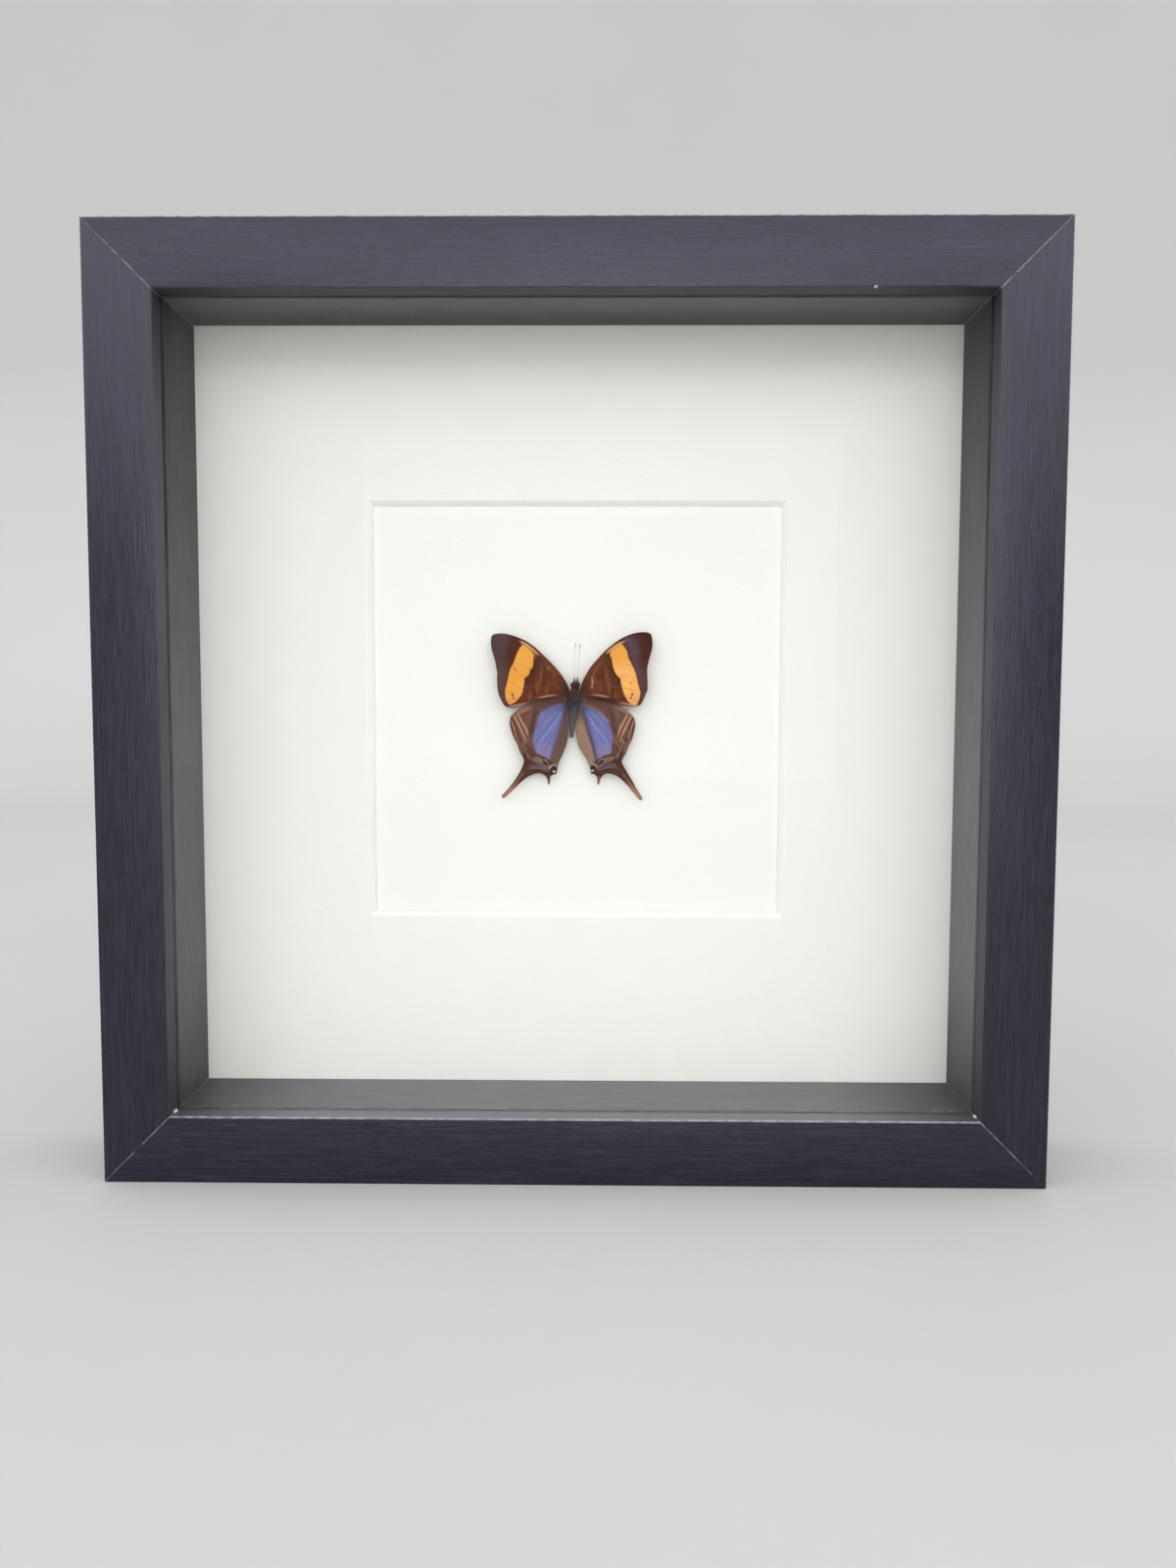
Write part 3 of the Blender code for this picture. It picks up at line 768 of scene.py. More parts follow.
# %% [markdown]
# ## Glass
#
# The pane is 2 mm of clear glass with a thin coat against reflections, as museum frames have. Bent
# light isn't wanted here, because the pane is flat and everything is seen straight through it. So the
# finish lets light pass as it is and adds the mirror of a polished surface: almost nothing when seen
# head on, and strong at a low angle. Lamps then reach the mat without any trick.

# %% The pane
CLEAR = (0.985, 0.99, 0.987, 1.0)
COATED = (0.6, -0.019)  # the coat keeps this share of the mirror, and takes this much off
LEAST_MIRROR = 0.002


def make_glass():
    material = bpy.data.materials.new("clear_glass")
    material.use_nodes = True
    tree = material.node_tree
    tree.nodes.clear()
    recipe = Recipe(tree)
    clear = recipe.node("ShaderNodeBsdfTransparent", {"Color": CLEAR})
    mirror = recipe.node("ShaderNodeBsdfAnisotropic", {"Color": (1.0, 1.0, 1.0, 1.0), "Roughness": 0.0})
    polished = recipe.node("ShaderNodeFresnel", {"IOR": 1.45}).outputs[0]
    share = recipe.math("MAXIMUM", recipe.math("MULTIPLY_ADD", polished, *COATED), LEAST_MIRROR)
    both = recipe.node("ShaderNodeMixShader", {0: share, 1: clear.outputs[0], 2: mirror.outputs[0]})
    end = recipe.node("ShaderNodeOutputMaterial", {"Surface": both.outputs[0]})
    end.is_active_output = True
    return material


wear("glass_pane", make_glass())

# %% [markdown]
# ## The back
#
# The back is a sheet of brown hardboard. Eight thin steel tabs lie in slots of the rails and are bent
# flat over it, and a saw-toothed steel hanger with two nails sits in the top rail. Hardboard is pressed
# from steamed wood fibre: smooth and a little shiny, with short darker fibres in it. The steel is rolled,
# so fine scratches run across it, and it has dulled a little.

# %% Hardboard and steel
def make_hardboard():
    finish = Finish("pressed_hardboard", IOR=1.45)
    fibres = finish.noise(finish.scaled(finish.mm, (0.5, 1.0, 1.3)), 2.4, 4.0, 0.7)
    cloud = finish.noise(finish.mm, 0.04, 3.0)
    shade = finish.mix(finish.step(fibres, 0.35, 0.62), paint(92, 62, 38), paint(132, 94, 62))
    shade = finish.over(shade, cloud, paint(110, 75, 47), 0.5)
    finish.set(Base_Color=shade, Roughness=finish.step(cloud, 0.3, 0.7, (0.42, 0.58)))
    finish.relief(fibres, 0.03)
    return finish


def make_steel():
    finish = Finish("dulled_steel", Metallic=1.0)
    scratches = finish.noise(finish.scaled(finish.mm, (0.15, 1.0, 4.0)), 3.0, 4.0, 0.7)
    stain = finish.noise(finish.mm, 0.7, 3.0)
    shade = finish.mix(finish.step(stain, 0.35, 0.7), paint(188, 187, 183), paint(160, 158, 152))
    finish.set(Base_Color=shade, Roughness=finish.math("MULTIPLY_ADD", scratches, 0.25, 0.2))
    finish.relief(scratches, 0.01)
    return finish


wear("back_panel", make_hardboard().material)
steel = make_steel()
METAL_NODES = [name for name in nodes if name.startswith(("tab_", "sawtooth", "hanger_"))]
for name in METAL_NODES:
    wear(name, steel.material)
print(len(METAL_NODES), "steel pieces")

# %% [markdown]
# ## Wings: curves, outlines and distances
#
# A wing is a thin sheet. Its outline, veins and markings are all drawn as smooth curves, in millimetres
# from the middle of the thorax. The sheet is filled with small triangles, and each point of it is told
# how far it is from every kind of marking. The finish then turns those distances into colour. In this
# way an edge stays crisp however close one looks, and it can still be made ragged, as real scales are.

# %% Curves and distances
THORAX_X = -1.0
THORAX_Z = 142.0
random = np.random.default_rng(7)


def above_thorax(finish):
    """How many mm each point of the piece is above the middle of the thorax."""
    return finish.minus(finish.split(finish.mm)[2], THORAX_Z)


def curve_through(points, pieces=8, closed=False):
    """Places on a smooth curve through the given ones."""
    fixed = np.array(points, float)
    if closed:
        around = np.concatenate([fixed[-1:], fixed, fixed[:2]])
    else:
        around = np.concatenate([2 * fixed[:1] - fixed[1:2], fixed, 2 * fixed[-1:] - fixed[-2:-1]])
    t = np.linspace(0, 1, pieces, endpoint=False)[:, None]
    spans = []
    for a, b, c, d in zip(around, around[1:], around[2:], around[3:]):
        bend = t * t * (a - 2.5 * b + 2 * c - d / 2) + t ** 3 * (1.5 * (b - c) + (d - a) / 2)
        spans.append(b + t * (c - a) / 2 + bend)
    return np.concatenate(spans if closed else spans + [fixed[-1:]])


def distance_to(places, path, widths=0.0):
    """How far each place is, in mm, from a path, or from a line with that half width along it."""
    best = np.full(len(places), 1e9)
    widths = np.broadcast_to(widths, len(path))
    for start, end, width, next_width in zip(path, path[1:], widths, widths[1:]):
        step = end - start
        share = np.clip((places - start) @ step / max(step @ step, 1e-12), 0, 1)
        gap = places - start - share[:, None] * step
        edge = np.hypot(gap[:, 0], gap[:, 1]) - width - share * (next_width - width)
        best = np.minimum(best, edge)
    return best


def beyond_edge(places, outline):
    """The distance to a closed outline: below zero inside it and above zero outside."""
    x, z = places.T
    held = np.zeros(len(places), bool)
    closed = np.concatenate([outline, outline[:1]])
    for (x0, z0), (x1, z1) in zip(closed, closed[1:]):
        crosses = (z0 > z) != (z1 > z)
        slope = (x1 - x0) / (z1 - z0) if z1 != z0 else 0.0
        held ^= crosses & (x < x0 + (z - z0) * slope)
    far = distance_to(places, closed)
    return np.where(held, -far, far)


def beyond_strokes(places, strokes, pieces=4):
    """The distance to brush strokes, below zero within one. A stroke is (half width, points) and tapers."""
    best = np.full(len(places), 9.0)
    for half_width, points in strokes:
        path = curve_through(points, pieces)
        taper = 0.3 + 0.7 * np.sin(np.linspace(0, pi, len(path))) ** 0.6
        closed = points[0] == points[-1]
        best = np.minimum(best, distance_to(places, path, half_width * (1.0 if closed else taper)))
    return best


print("a curve through 3 places takes", len(curve_through([(0, 0), (1, 1), (2, 0)])), "points")

# %% A sheet inside an outline
SHEET_STEP = 0.12


def even_steps(outline, step):
    """The closed outline again, with points at even steps."""
    closed = np.concatenate([outline, outline[:1]])
    lengths = np.hypot(*np.diff(closed, axis=0).T)
    reached = np.concatenate([[0], np.cumsum(lengths)])
    marks = np.linspace(0, reached[-1], int(reached[-1] / step), endpoint=False)
    return np.stack([np.interp(marks, reached, closed[:, k]) for k in (0, 1)], axis=1)


def fill_outline(outline, step):
    """Points and triangles that fill the outline; the rim's points come first."""
    rim = even_steps(outline, step)
    low, high = rim.min(axis=0), rim.max(axis=0)
    columns = np.arange(low[0], high[0], step)
    rows = np.arange(low[1], high[1], step * 0.87)
    grid = np.stack(np.meshgrid(columns, rows), axis=-1)
    grid[1::2, :, 0] += step / 2
    grid = grid.reshape(-1, 2) + random.uniform(-0.12, 0.12, (columns.size * rows.size, 2)) * step
    grid = grid[beyond_edge(grid, rim) < -0.6 * step]
    places = np.concatenate([rim, grid])
    loop = [tuple(range(len(rim)))]
    filled = geometry.delaunay_2d_cdt([Vector(p) for p in places], [], loop, 1, 1e-5)
    return np.array([tuple(p) for p in filled[0]]), filled[2], rim


square = np.array([(0, 0), (4, 0), (4, 3), (0, 3)], float)
print("a 4 by 3 mm sheet takes", len(fill_outline(square, SHEET_STEP)[1]), "triangles")

# %% Outlines of the wings
FOREWING_LEFT = [
    (-1.25, 2.3), (-2.2, 4.4), (-3.4, 6.3), (-5.7, 9.2), (-8.9, 12.5), (-11.8, 15.2), (-14.9, 17.3),
    (-17.9, 18.6), (-21.0, 19.4), (-23.6, 19.5), (-25.1, 18.8), (-25.5, 17.3), (-25.4, 15.1),
    (-24.8, 12.9), (-24.1, 10.6), (-24.0, 9.3), (-23.5, 7.2), (-23.7, 5.6), (-23.5, 3.2),
    (-23.2, 0.8), (-22.2, -1.3), (-21.2, -2.9), (-19.4, -3.5), (-16.8, -3.1), (-14.3, -2.2),
    (-11.6, -1.0), (-8.4, -0.5), (-5.4, 0.0), (-1.85, -0.3), (-1.8, 0.4), (-1.5, 1.4),
]
FOREWING_RIGHT = [
    (2.0, 2.3), (2.7, 4.4), (3.6, 6.3), (5.2, 9.0), (7.9, 12.2), (11.2, 15.5), (14.9, 18.1),
    (18.5, 19.6), (22.0, 20.0), (23.7, 19.5), (24.3, 18.0), (24.4, 15.6), (23.9, 13.3), (23.2, 10.9),
    (22.8, 8.3), (22.9, 6.0), (23.0, 2.4), (22.4, 1.0), (21.7, -0.8), (20.6, -2.5), (18.3, -2.9),
    (15.3, -2.6), (12.4, -1.8), (9.0, -0.9), (5.4, -0.1), (2.5, -0.3), (2.45, 0.4), (2.25, 1.4),
]
HINDWING_LEFT = [
    (-2.15, -0.9), (-5.0, 0.1), (-9.0, -0.3), (-12.5, -1.4), (-15.1, -2.7), (-17.4, -4.1),
    (-19.4, -6.1), (-19.9, -8.2), (-19.4, -10.6), (-18.4, -13.3), (-17.5, -14.8), (-16.9, -16.9),
    (-15.9, -18.5), (-15.5, -20.2), (-16.2, -22.4), (-17.9, -25.4), (-20.0, -28.3), (-22.1, -30.6),
    (-22.5, -31.3), (-21.6, -31.5), (-19.9, -30.1), (-17.5, -27.8), (-15.0, -25.5), (-12.7, -24.3),
    (-10.7, -23.9), (-9.2, -24.4), (-8.3, -25.3), (-8.0, -26.7), (-7.6, -27.6), (-7.3, -26.6),
    (-7.2, -25.0), (-6.5, -24.4), (-5.3, -24.0), (-5.0, -22.4), (-4.5, -20.3), (-3.3, -17.7),
    (-2.3, -15.0), (-1.7, -12.2), (-1.5, -9.5), (-1.45, -6.5), (-1.55, -4.5), (-1.5, -2.8),
    (-1.95, -1.8),
]
HINDWING_RIGHT = [
    (2.65, -0.9), (5.0, 0.1), (8.6, -0.3), (11.6, -1.4), (14.0, -2.6), (16.3, -4.0), (18.5, -6.0),
    (19.3, -7.9), (19.1, -10.0), (18.3, -13.0), (17.3, -15.1), (16.5, -17.3), (15.6, -18.9),
    (15.2, -20.3), (16.3, -22.5), (18.0, -25.5), (20.0, -28.9), (21.5, -31.4), (21.3, -32.1),
    (20.5, -31.9), (18.6, -29.6), (16.0, -26.6), (13.7, -24.7), (11.3, -23.9), (9.6, -24.2),
    (8.6, -25.4), (8.1, -26.9), (7.8, -27.6), (7.5, -26.6), (7.4, -25.0), (6.5, -24.2),
    (5.5, -23.8), (5.2, -22.2), (4.4, -20.0), (2.9, -17.6), (1.6, -15.2), (1.0, -12.4),
    (0.95, -9.5), (1.05, -6.5), (1.45, -4.5), (1.65, -2.8), (2.3, -1.8),
]
for name, outline in (("left", FOREWING_LEFT), ("right", FOREWING_RIGHT)):
    print(name, "forewing", round(max(abs(x) for x, z in outline), 1), "mm from the body")

# %% [markdown]
# ## Veins
#
# Hollow tubes stiffen a wing and run from its root to the rim, with one closed cell near the root.
# They are drawn for the left wings and mirrored onto the right ones, with the small change of width
# that this specimen has. On the sheet they become low ridges, and the skin between them sags a little.

# %% Veins and the sides they are on
FOREWING_VEINS = [
    [(-2.0, 1.6), (-5.5, 7.2), (-9.5, 11.6), (-13.0, 14.5), (-16.5, 16.9)],
    [(-2.0, 1.4), (-6.0, 6.5), (-10.4, 10.9), (-14.2, 13.9), (-17.6, 15.9), (-21.0, 18.6)],
    [(-2.1, 1.2), (-6.5, 5.6), (-10.3, 9.2), (-12.2, 10.9), (-15.75, 13.7), (-20.0, 15.6), (-24.9, 17.2)],
    [(-11.2, 9.6), (-13.1, 10.5), (-15.3, 11.6), (-17.4, 12.1), (-21.0, 13.0), (-24.9, 13.6)],
    [(-11.0, 8.2), (-13.4, 9.1), (-16.1, 9.75), (-18.7, 9.6), (-24.1, 9.9)],
    [(-10.6, 6.6), (-13.6, 6.9), (-17.0, 6.6), (-23.6, 6.4)],
    [(-9.4, 4.3), (-13.0, 3.2), (-16.1, 2.5), (-20.5, 2.0), (-23.3, 2.2)],
    [(-6.2, 3.0), (-10.0, 1.9), (-14.0, 0.4), (-18.0, -0.6), (-22.4, -1.2)],
    [(-2.2, 0.9), (-4.5, 2.6), (-6.2, 3.9), (-8.4, 4.3), (-9.9, 4.4)],
    [(-10.3, 9.2), (-11.0, 8.2), (-10.6, 6.6), (-9.9, 4.4)],
    [(-2.2, 0.3), (-5.2, 0.35), (-10.6, -0.25), (-15.0, -1.9), (-19.8, -3.2)],
]
HINDWING_VEINS = [
    [(-2.6, -1.2), (-7.0, -1.3), (-12.0, -2.6), (-17.0, -4.3), (-19.6, -6.6)],
    [(-2.8, -1.6), (-7.0, -2.6), (-11.5, -5.2), (-15.5, -8.6), (-19.2, -11.2)],
    [(-2.8, -2.0), (-6.5, -4.8), (-10.8, -9.0), (-14.5, -12.9), (-17.4, -15.0)],
    [(-2.8, -2.2), (-5.8, -6.6), (-9.4, -11.4), (-13.0, -15.6), (-15.9, -18.6)],
    [(-2.7, -2.4), (-5.0, -7.0), (-8.2, -11.6), (-11.6, -16.6), (-15.4, -22.4), (-22.0, -31.0)],
    [(-2.7, -2.4), (-4.5, -7.4), (-6.6, -12.2), (-9.2, -17.6), (-11.6, -23.6)],
    [(-2.6, -2.6), (-3.8, -7.6), (-5.4, -13.0), (-7.2, -19.6), (-7.7, -27.0)],
    [(-2.5, -2.8), (-3.0, -8.0), (-3.9, -14.0), (-5.4, -19.6), (-6.0, -23.8)],
]


def forewing_mirrored(points):
    return [(2.0 - (x + 1.25) * 0.924, z + 0.25) for x, z in points]


def hindwing_mirrored(points):
    return [(0.1 - x * 0.975, z + 0.3) for x, z in points]


print(len(FOREWING_VEINS), "and", len(HINDWING_VEINS), "veins in a forewing and a hindwing")

# %% [markdown]
# ## Markings of the forewings
#
# The forewing is red-brown with a broad orange band. Its outer border is ragged, and the inner one is
# scalloped between the veins. Outside the band the left wing turns slate towards its tip. The right one
# stays red-brown there, with more nicks. A painted sheen stands for the blue shimmer of the scales seen
# from this angle: a slate patch beside the band on the right wing, and a bluish one near the left tip.
# Within the inner half there are soft lighter and darker bars, and where scales are lost the pale skin
# shows as thin nicks. Each marking below is a brush stroke: half its width, then its path.

# %% Forewing markings
BAND_LEFT = [
    (-15.7, 16.0), (-16.4, 15.3), (-17.1, 14.2), (-17.7, 12.9), (-18.2, 11.2), (-18.8, 9.8), (-19.5, 8.9),
    (-19.9, 7.4), (-20.1, 6.1), (-20.5, 4.6), (-20.7, 3.5), (-21.1, 2.8), (-21.2, 1.3), (-21.1, 0.0),
    (-20.7, -1.3), (-19.9, -2.4), (-19.2, -2.3), (-17.9, -1.6), (-17.0, -0.5), (-16.2, 0.4), (-15.7, 1.5),
    (-15.6, 2.6), (-15.3, 3.5), (-15.2, 4.8), (-15.3, 5.8), (-14.6, 6.1), (-13.8, 6.7), (-13.5, 7.6),
    (-13.6, 8.7), (-12.7, 8.6), (-12.4, 10.7), (-12.4, 12.2), (-12.2, 13.1), (-13.3, 14.4), (-14.6, 15.5),
]
BAND_RIGHT = [
    (14.8, 16.4), (15.7, 15.5), (16.6, 14.2), (16.9, 12.2), (17.9, 10.4), (18.6, 8.9), (19.2, 7.5),
    (19.6, 6.0), (19.9, 4.5), (20.3, 3.1), (20.8, 1.6), (20.6, 0.0), (20.1, -1.5), (19.4, -2.6),
    (17.9, -2.3), (16.8, -1.2), (16.1, 0.1), (15.3, 1.8), (15.0, 3.3), (14.6, 4.7), (14.6, 5.8),
    (13.5, 6.5), (12.9, 7.5), (12.4, 8.6), (12.0, 10.4), (11.8, 11.9), (11.2, 13.0), (11.6, 14.1),
    (13.1, 15.3),
]
OUTER_LEFT = BAND_LEFT[:16] + [(-19.9, -6.0), (-30.0, -6.0), (-30.0, 24.0), (-15.2, 24.0)]
OUTER_RIGHT = BAND_RIGHT[:14] + [(19.4, -6.0), (30.0, -6.0), (30.0, 24.0), (14.2, 24.0)]
APEX_LEFT = [
    (-19.6, 24.0), (-19.9, 18.6), (-20.9, 15.9), (-21.0, 11.8), (-20.6, 8.5), (-20.9, 5.0), (-21.4, 2.0),
    (-21.3, -1.0), (-19.5, -3.2), (-19.5, -6.0), (-30.0, -6.0), (-30.0, 24.0),
]
APEX_RIGHT = [
    (15.2, 24.0), (16.4, 17.2), (17.9, 13.5), (19.2, 9.5), (20.2, 5.5), (21.2, 2.0), (20.6, -1.5),
    (19.5, -6.0), (30.0, -6.0), (30.0, 24.0),
]
BAND_MARKS = [
    (0.14, [(-18.65, 9.0), (-18.1, 8.4), (-17.57, 7.6)]),
    (0.2, [(-18.37, 4.15), (-18.37, 4.05)]),
    (0.36, [(-18.9, 0.75), (-18.85, 0.55)]),
    (0.14, [(-18.8, 0.4), (-18.5, -0.4)]),
    (0.27, [(-18.45, -0.5), (-18.4, -0.7)]),
]
FOREWING_NICKS = [
    (0.13, [(-5.34, 0.5), (-8.48, 0.16), (-11.1, -0.4)]),
    (0.12, [(-8.48, 9.25), (-7.33, 8.43)]),
    (0.07, [(-19.9, 12.5), (-19.5, 12.1), (-19.2, 12.0)]),
]
FOREWING_RIBS = [
    (0.09, [(-9.9, 4.45), (-8.4, 4.3), (-6.2, 3.9), (-4.5, 2.6), (-2.6, 1.2)]),
    (0.07, [(-15.2, 2.6), (-13.0, 3.1), (-10.8, 3.9)]),
    (0.07, [(-5.3, 0.5), (-4.0, 0.6), (-2.6, 0.6)]),
    (0.06, [(-4.4, 6.9), (-6.8, 9.4), (-10.0, 12.6)]),
    (0.06, [(-6.1, 7.1), (-6.67, 4.5)]),
]
FOREWING_NICKS_RIGHT = [
    (0.15, [(5.7, 6.4), (5.85, 5.4), (5.9, 4.6)]),
    (0.32, [(5.72, 4.6), (6.1, 4.45)]),
    (0.17, [(5.5, 2.5), (5.7, 2.95), (6.3, 3.05)]),
    (0.13, [(10.7, 6.9), (10.72, 6.86)]),
    (0.13, [(19.1, 9.5), (19.12, 9.46)]),
    (0.12, [(21.0, 6.9), (21.02, 6.86)]),
    (0.08, [(16.9, 8.0), (17.2, 8.8), (17.9, 9.1)]),
]
FOREWING_LIGHT = [
    (0.24, [(-9.6, 10.0), (-9.9, 7.6), (-10.4, 5.0), (-10.95, 2.7), (-11.5, 0.4)]),
    (0.14, [(-11.5, 5.6), (-11.7, 3.4), (-11.3, 1.6)]),
    (0.12, [(-6.0, 7.1), (-6.67, 4.5)]),
    (0.25, [(-5.4, 6.4), (-6.8, 8.4), (-8.2, 9.9)]),
    (0.3, [(-8.1, 3.2), (-8.2, 0.9)]),
    (0.5, [(-12.8, 1.2), (-13.9, -0.6)]),
]
FOREWING_DARK = [
    (0.25, [(-12.1, 6.4), (-12.3, 3.5), (-12.2, 0.0), (-12.5, -1.3)]),
    (0.2, [(-8.9, 9.4), (-9.2, 5.1), (-9.7, 0.3)]),
    (0.14, [(-10.9, 10.6), (-11.1, 7.4), (-11.2, 6.0)]),
    (0.6, [(-11.8, 12.7), (-10.2, 11.3)]),
    (0.5, [(-11.6, 11.8), (-12.1, 9.3), (-12.6, 7.2), (-13.6, 6.0)]),
    (0.45, [(-13.4, 7.2), (-14.3, 5.6), (-14.5, 3.8)]),
    (0.16, [(-8.0, 7.4), (-8.4, 4.9)]),
    (0.12, [(-5.2, 4.4), (-7.3, 1.6)]),
    (0.35, [(-14.4, -1.8), (-12.0, -1.15), (-5.3, -0.5)]),
    (0.15, [(-7.0, 7.9), (-7.2, 4.8)]),
    (0.8, [(-2.6, 1.0), (-4.2, 1.6)]),
]
FOREWING_SALMON = [
    (0.38, [(-16.7, 17.15), (-13.9, 15.5), (-10.7, 12.8)]),
    (0.12, [(-12.2, 12.9), (-11.4, 12.0)]),
    (0.3, [(-19.8, -3.0), (-16.9, -2.62), (-13.6, -1.85)]),
]
# Painted sheen: where the scales' blue shimmer shows from this angle.
SHEEN_PATCH_LEFT = [(0.7, [(-20.7, 19.0), (-21.3, 17.0), (-21.6, 14.2)]), (0.4, [(-21.4, 9.0), (-21.9, 5.0)])]
SHEEN_PATCH_RIGHT = [
    (1.7, [(16.2, 18.8), (17.9, 16.6), (18.9, 13.8), (19.1, 11.0)]),
    (0.9, [(18.9, 11.8), (19.9, 8.4), (20.9, 5.2)]),
]
SALMON_RIGHT = [
    (0.34, [(10.2, 13.45), (11.9, 14.85), (13.9, 16.2), (16.2, 17.3)]),
    (0.28, [(19.9, -2.5), (17.6, -2.4), (14.4, -1.75)]),
]


def mirrored_strokes(strokes, mirror):
    return [(half_width, mirror(points)) for half_width, points in strokes]


FOREWING_STROKES = {
    "marks": BAND_MARKS, "nicks": FOREWING_NICKS, "ribs": FOREWING_RIBS, "light": FOREWING_LIGHT,
    "dark": FOREWING_DARK, "salmon": FOREWING_SALMON, "painted_sheen": SHEEN_PATCH_LEFT,
}
FOREWING_STROKES_RIGHT = {
    "marks": mirrored_strokes(BAND_MARKS[1:], forewing_mirrored),
    "nicks": mirrored_strokes(FOREWING_NICKS[:1], forewing_mirrored) + FOREWING_NICKS_RIGHT,
    "salmon": SALMON_RIGHT, "painted_sheen": SHEEN_PATCH_RIGHT,
}

print(len(FOREWING_LIGHT) + len(FOREWING_DARK), "soft bars on a forewing")

# %% [markdown]
# ## Markings of the hindwings
#
# A large violet-blue patch fills the middle of each hindwing. Its blue comes from the fine structure
# of the scales and not from pigment, so it has a satin sheen along the veins. Outside the patch are
# brown and tan stripes, below it two cream loops and a dark eyespot with a white centre, and the rim
# runs out in one long tail and one short one. The inner margin is folded and covered with hair.

# %% Hindwing markings
PATCH_LEFT = [
    (-4.0, -2.3), (-2.7, -2.7), (-3.0, -4.7), (-3.3, -6.7), (-3.7, -8.4), (-4.3, -10.4), (-4.8, -12.1),
    (-5.5, -13.9), (-6.1, -15.6), (-6.6, -17.6), (-7.0, -19.3), (-7.4, -19.7), (-8.7, -18.9), (-10.1, -18.4),
    (-11.4, -17.6), (-12.2, -15.9), (-12.7, -14.1), (-12.6, -12.2), (-12.0, -10.0), (-11.4, -7.8),
    (-10.8, -5.7), (-9.7, -4.3), (-7.9, -3.2), (-6.1, -2.6),
]
PATCH_RIGHT = [
    (2.7, -2.6), (4.9, -3.1), (7.1, -4.1), (8.8, -5.1), (10.4, -6.7), (11.2, -8.4), (11.9, -10.3),
    (12.3, -12.5), (12.1, -14.7), (11.8, -16.2), (11.9, -17.5), (10.6, -18.0), (9.3, -18.4), (8.0, -19.1),
    (7.1, -19.7), (6.8, -18.6), (6.0, -16.5), (5.4, -14.3), (4.9, -12.1), (4.5, -9.9), (3.8, -7.8),
    (3.2, -5.6), (2.7, -3.9),
]
FOLD_LEFT = [(0.0, -1.0), (-2.6, -2.6)] + PATCH_LEFT[2:11] + [(-6.6, -20.6), (-5.0, -21.3), (0.0, -21.3)]
TAN_STRIPES = [
    (0.36, [(-18.6, -5.8), (-17.9, -7.0), (-16.7, -9.3), (-15.4, -12.0), (-14.6, -14.2)]),
    (0.32, [(-17.5, -5.0), (-16.2, -7.6), (-14.7, -10.1), (-14.2, -12.2)]),
    (0.2, [(-16.2, -14.0), (-15.0, -17.0), (-13.7, -19.1)]),
    (0.18, [(-19.5, -7.3), (-18.5, -9.6), (-17.9, -12.7), (-17.1, -15.5), (-16.4, -17.6)]),
]
TAIL_LEFT = [
    (0.16, [(-15.6, -23.6), (-18.3, -27.3), (-20.0, -29.2)]),
    (0.6, [(-18.2, -27.6), (-20.6, -29.9), (-22.2, -31.2)]),
    (0.24, [(-7.7, -25.6), (-7.65, -26.4), (-7.6, -27.4)]),
]
TAIL_RIGHT = [
    (0.16, [(15.6, -23.8), (18.0, -27.4), (19.4, -29.5)]),
    (0.62, [(17.8, -27.8), (20.1, -30.6), (21.3, -32.0)]),
    (0.36, [(7.85, -25.2), (7.8, -26.2), (7.8, -27.4)]),
]
FRONT_ZONE = [(0.75, [(-13.4, -3.1), (-15.4, -4.0), (-17.8, -5.2)])]
ROOT_ZONE = [(1.1, [(-2.6, -1.2), (-6.0, -1.2), (-9.6, -2.0), (-12.0, -3.2)])]
DARK_STRIPES = [
    (0.16, [(-18.7, -7.3), (-17.2, -11.7), (-15.7, -15.7), (-14.5, -18.4), (-14.6, -21.6)]),
    (0.14, [(-17.8, -6.1), (-16.2, -9.3), (-15.0, -12.3), (-14.2, -15.4)]),
    (0.12, [(-19.1, -9.0), (-18.3, -12.0), (-17.3, -14.5), (-16.5, -17.0)]),
    (0.28, [(-15.5, -16.2), (-15.0, -18.2), (-14.8, -20.8)]),
    (0.28, [(-12.0, -18.1), (-9.15, -19.4), (-7.3, -20.2)]),
    (0.2, [(-14.5, -23.5), (-11.2, -22.9), (-8.7, -23.5), (-7.7, -24.8)]),
    (0.13, [(-15.2, -22.0), (-12.8, -21.0), (-9.6, -21.6)]),
]
DUSK = [
    (0.75, [(-11.6, -4.0), (-12.6, -6.5), (-13.2, -9.5), (-13.7, -12.5)]),
    (0.5, [(-14.6, -15.0), (-13.9, -17.6)]),
]
PLUM = [(0.7, [(-8.6, -2.2), (-12.4, -3.5)])]
HATCH = [(0.06, [(-15.3 + 0.12 * k, -9.9 + 0.6 * k), (-13.0 + 0.06 * k, -8.3 + 0.52 * k)]) for k in range(9)]
HATCH += [
    (0.06, [(-18.5, -13.2), (-16.2, -11.6), (-14.6, -11.0)]),
    (0.05, [(-16.9, -15.4), (-14.9, -13.9), (-13.3, -13.2)]),
    (0.05, [(-14.2, -23.9), (-12.4, -23.2), (-9.6, -23.4)]),
]
PALE_RIGHT = [
    (0.07, [(3.3, -2.6), (8.0, -4.1), (10.9, -7.5)]), (0.06, [(10.3, -7.6), (15.7, -10.0), (17.3, -11.4)]),
    (0.06, [(12.4, -11.8), (15.0, -13.4), (16.4, -14.6)]), (0.06, [(13.0, -14.2), (14.8, -16.4)]),
]
WAIST = [(0.5, [(-1.4, -2.5), (-3.6, -2.5)])]
GLOW = [(0.35, [(-4.0, -4.8), (-6.3, -8.6), (-8.7, -12.0), (-11.3, -16.5)])]
VIOLET_GREY = [
    (0.45, [(-13.9, -21.7), (-11.2, -21.3), (-9.1, -22.1), (-7.9, -23.0)]),
    (0.4, [(-2.2, -4.5), (-2.4, -8.0)]),
]
